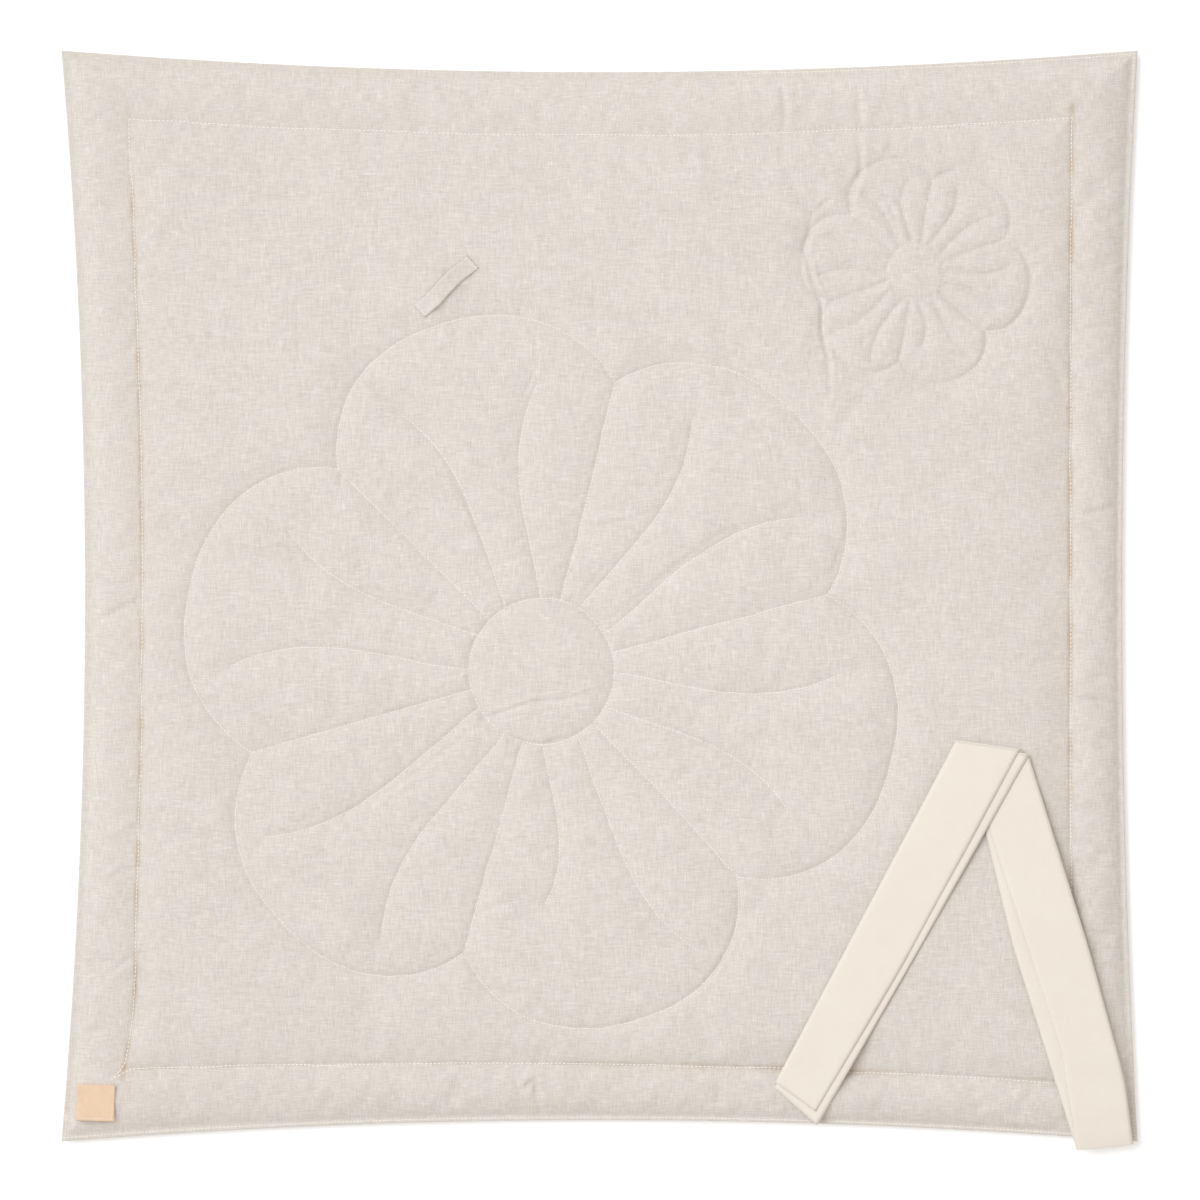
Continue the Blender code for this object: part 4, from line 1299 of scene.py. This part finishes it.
def joined(pieces, name):
    """Several meshes made into one piece."""
    mesh = bmesh.new()
    for piece in pieces:
        mesh.from_mesh(piece.data)
    material = pieces[0].data.materials[0]
    data = bpy.data.meshes.new(name)
    mesh.to_mesh(data)
    mesh.free()
    data.materials.append(material)
    for piece in pieces:
        bpy.data.objects.remove(piece, do_unlink=True)
    return placed_object(name, data)


def make_strap():
    # lower leg: down under, round the fold at the near edge, and back up on top
    under_left, under_right = layer_rows(LOWER_LEG_UNDER, 0, False, LOWER_LEG_UNDER, LOWER_LEG_OVER)
    over_left, over_right = layer_rows(LOWER_LEG_OVER, 1, False, LOWER_LEG_UNDER, LOWER_LEG_OVER)
    spacing = STRAP_CLOTH + LAYER_GAP
    turn_left, turn_right = [], []
    for step in range(1, 6):
        angle = math.pi * step / 6
        out = spacing * 0.9 * math.sin(angle)
        up = spacing / 2 * (1 - math.cos(angle))
        for turn, end, inner in ((turn_left, under_left[-1], under_left[-6]),
                                 (turn_right, under_right[-1], under_right[-6])):
            way = (end - inner) / np.linalg.norm(end - inner)
            turn.append(end + way * out + np.array((0.0, 0.0, up)))
    left = np.vstack((under_left, turn_left, over_left[::-1]))
    right = np.vstack((under_right, turn_right, over_right[::-1]))
    lower = strip_from_edges("strap_lower_leg_cotton", left, right, cotton_right)
    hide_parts("strap_lower_leg")
    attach(lower, "strap_lower")

    # upper leg: two layers with their tails cut on the slant
    layers = []
    ends = []
    for level, edges in ((0, UPPER_LEG_UNDER), (1, UPPER_LEG_OVER)):
        left, right = layer_rows(edges, level, True, UPPER_LEG_UNDER, UPPER_LEG_OVER)
        ends.append((left[0], right[0]))
        layers.append(strip_from_edges(f"strap upper layer {level}", left, right, cotton))
    upper = joined(layers, "strap_upper_leg_cotton")
    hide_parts("strap_upper_leg")
    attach(upper, "strap_upper")

    # the crease where the strap turns over from one leg to the other
    pairs = (((under_left[0], under_right[0]), ends[1]), ((over_left[0], over_right[0]), ends[0]))
    folds = []
    for number, (low, high) in enumerate(pairs):
        turn_left, turn_right = [], []
        crease = high[1] - high[0]
        outward = np.array((-crease[1], crease[0], 0.0))
        outward /= np.linalg.norm(outward)
        for step in range(13):
            angle = math.pi * step / 12
            mix = (1 - math.cos(angle)) / 2
            rise = high[0][2] - low[0][2]
            out = outward * math.sin(angle) * rise * 0.55
            turn_left.append(low[0] * (1 - mix) + high[0] * mix + out)
            turn_right.append(low[1] * (1 - mix) + high[1] * mix + out)
        folds.append(strip_from_edges(f"strap fold {number}", np.array(turn_left),
                                      np.array(turn_right), cotton))
    fold = joined(folds, "strap_crease_fold")
    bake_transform(fold)


# ---- Floor, light and camera ----

VIEW_WIDTH = 1.2257           # width of the mat's plane that the camera takes in
VIEW_CENTRE = (0.0005, -0.0041)
LENS = 300.0
SENSOR = 36.0
FLOOR_SIZE = 14.0
FLOOR_GAP = 0.0004


def make_floor():
    bpy.ops.mesh.primitive_plane_add(size=FLOOR_SIZE, location=(0.0, 0.0, -FLOOR_GAP))
    floor = bpy.context.active_object
    floor.name = "studio_floor"
    material, tree, skin, place = new_material("pale floor", 0.9, 0.0)
    patches = place_group(tree, MOTTLE_GROUP, {"Vector": place, "Patch size": 0.5}).outputs[0]
    tone = math_node(tree, "MULTIPLY_ADD", patches, 0.5, 0.5)
    colour = ramp_colour(tree, tone, (0.90, 0.90, 0.90), (0.92, 0.92, 0.92))
    tree.links.new(colour, skin.inputs["Base Color"])
    skin.inputs["Emission Color"].default_value = (1.0, 1.0, 1.0, 1.0)
    skin.inputs["Emission Strength"].default_value = 0.25
    floor.data.materials.append(material)


def make_light(name, direction, spread, strength, colour):
    """Even studio light from one direction, as from a wide softbox a long way off."""
    data = bpy.data.lights.new(name, "SUN")
    data.angle = math.radians(spread)
    data.energy = strength
    data.color = colour
    lamp = placed_object(name, data)
    lamp.location = direction
    lamp.rotation_euler = (-Vector(direction)).to_track_quat("-Z", "Y").to_euler()


def make_softbox(place, size, power):
    """A round overhead softbox, so that the light falls off a little towards the edges."""
    data = bpy.data.lights.new("overhead softbox", "AREA")
    data.shape = "DISK"
    data.size = size
    data.energy = power
    lamp = placed_object("overhead softbox", data)
    lamp.location = place
    lamp.visible_camera = False


def make_studio():
    make_floor()
    make_softbox((-0.12, 0.10, 1.7), 1.0, 5.0)
    make_light("key light", (-2.0, 1.1, 2.9), 42.0, 1.50, (0.83, 0.915, 1.0))
    world = bpy.data.worlds.new("studio")
    world.use_nodes = True
    sky = world.node_tree.nodes["Background"]
    sky.inputs["Color"].default_value = (1.0, 0.950, 0.900, 1.0)
    sky.inputs["Strength"].default_value = 0.643
    bpy.context.scene.world = world
    bpy.context.scene.view_settings.view_transform = "Standard"


def make_camera():
    data = bpy.data.cameras.new("camera")
    data.lens = LENS
    data.sensor_width = SENSOR
    camera = placed_object("camera", data)
    distance = VIEW_WIDTH * LENS / SENSOR
    camera.location = (*VIEW_CENTRE, distance + (RIM_Z + ROLL_TOP) / 2)
    bpy.context.scene.camera = camera


make_camera()
make_studio()
make_front_cover()
make_back_cover()
make_wadding("lower_wadding", 0.0, 0.5)
make_wadding("upper_wadding", 0.5, 1.0)
make_stitches()
make_loop()
make_label()
make_strap()
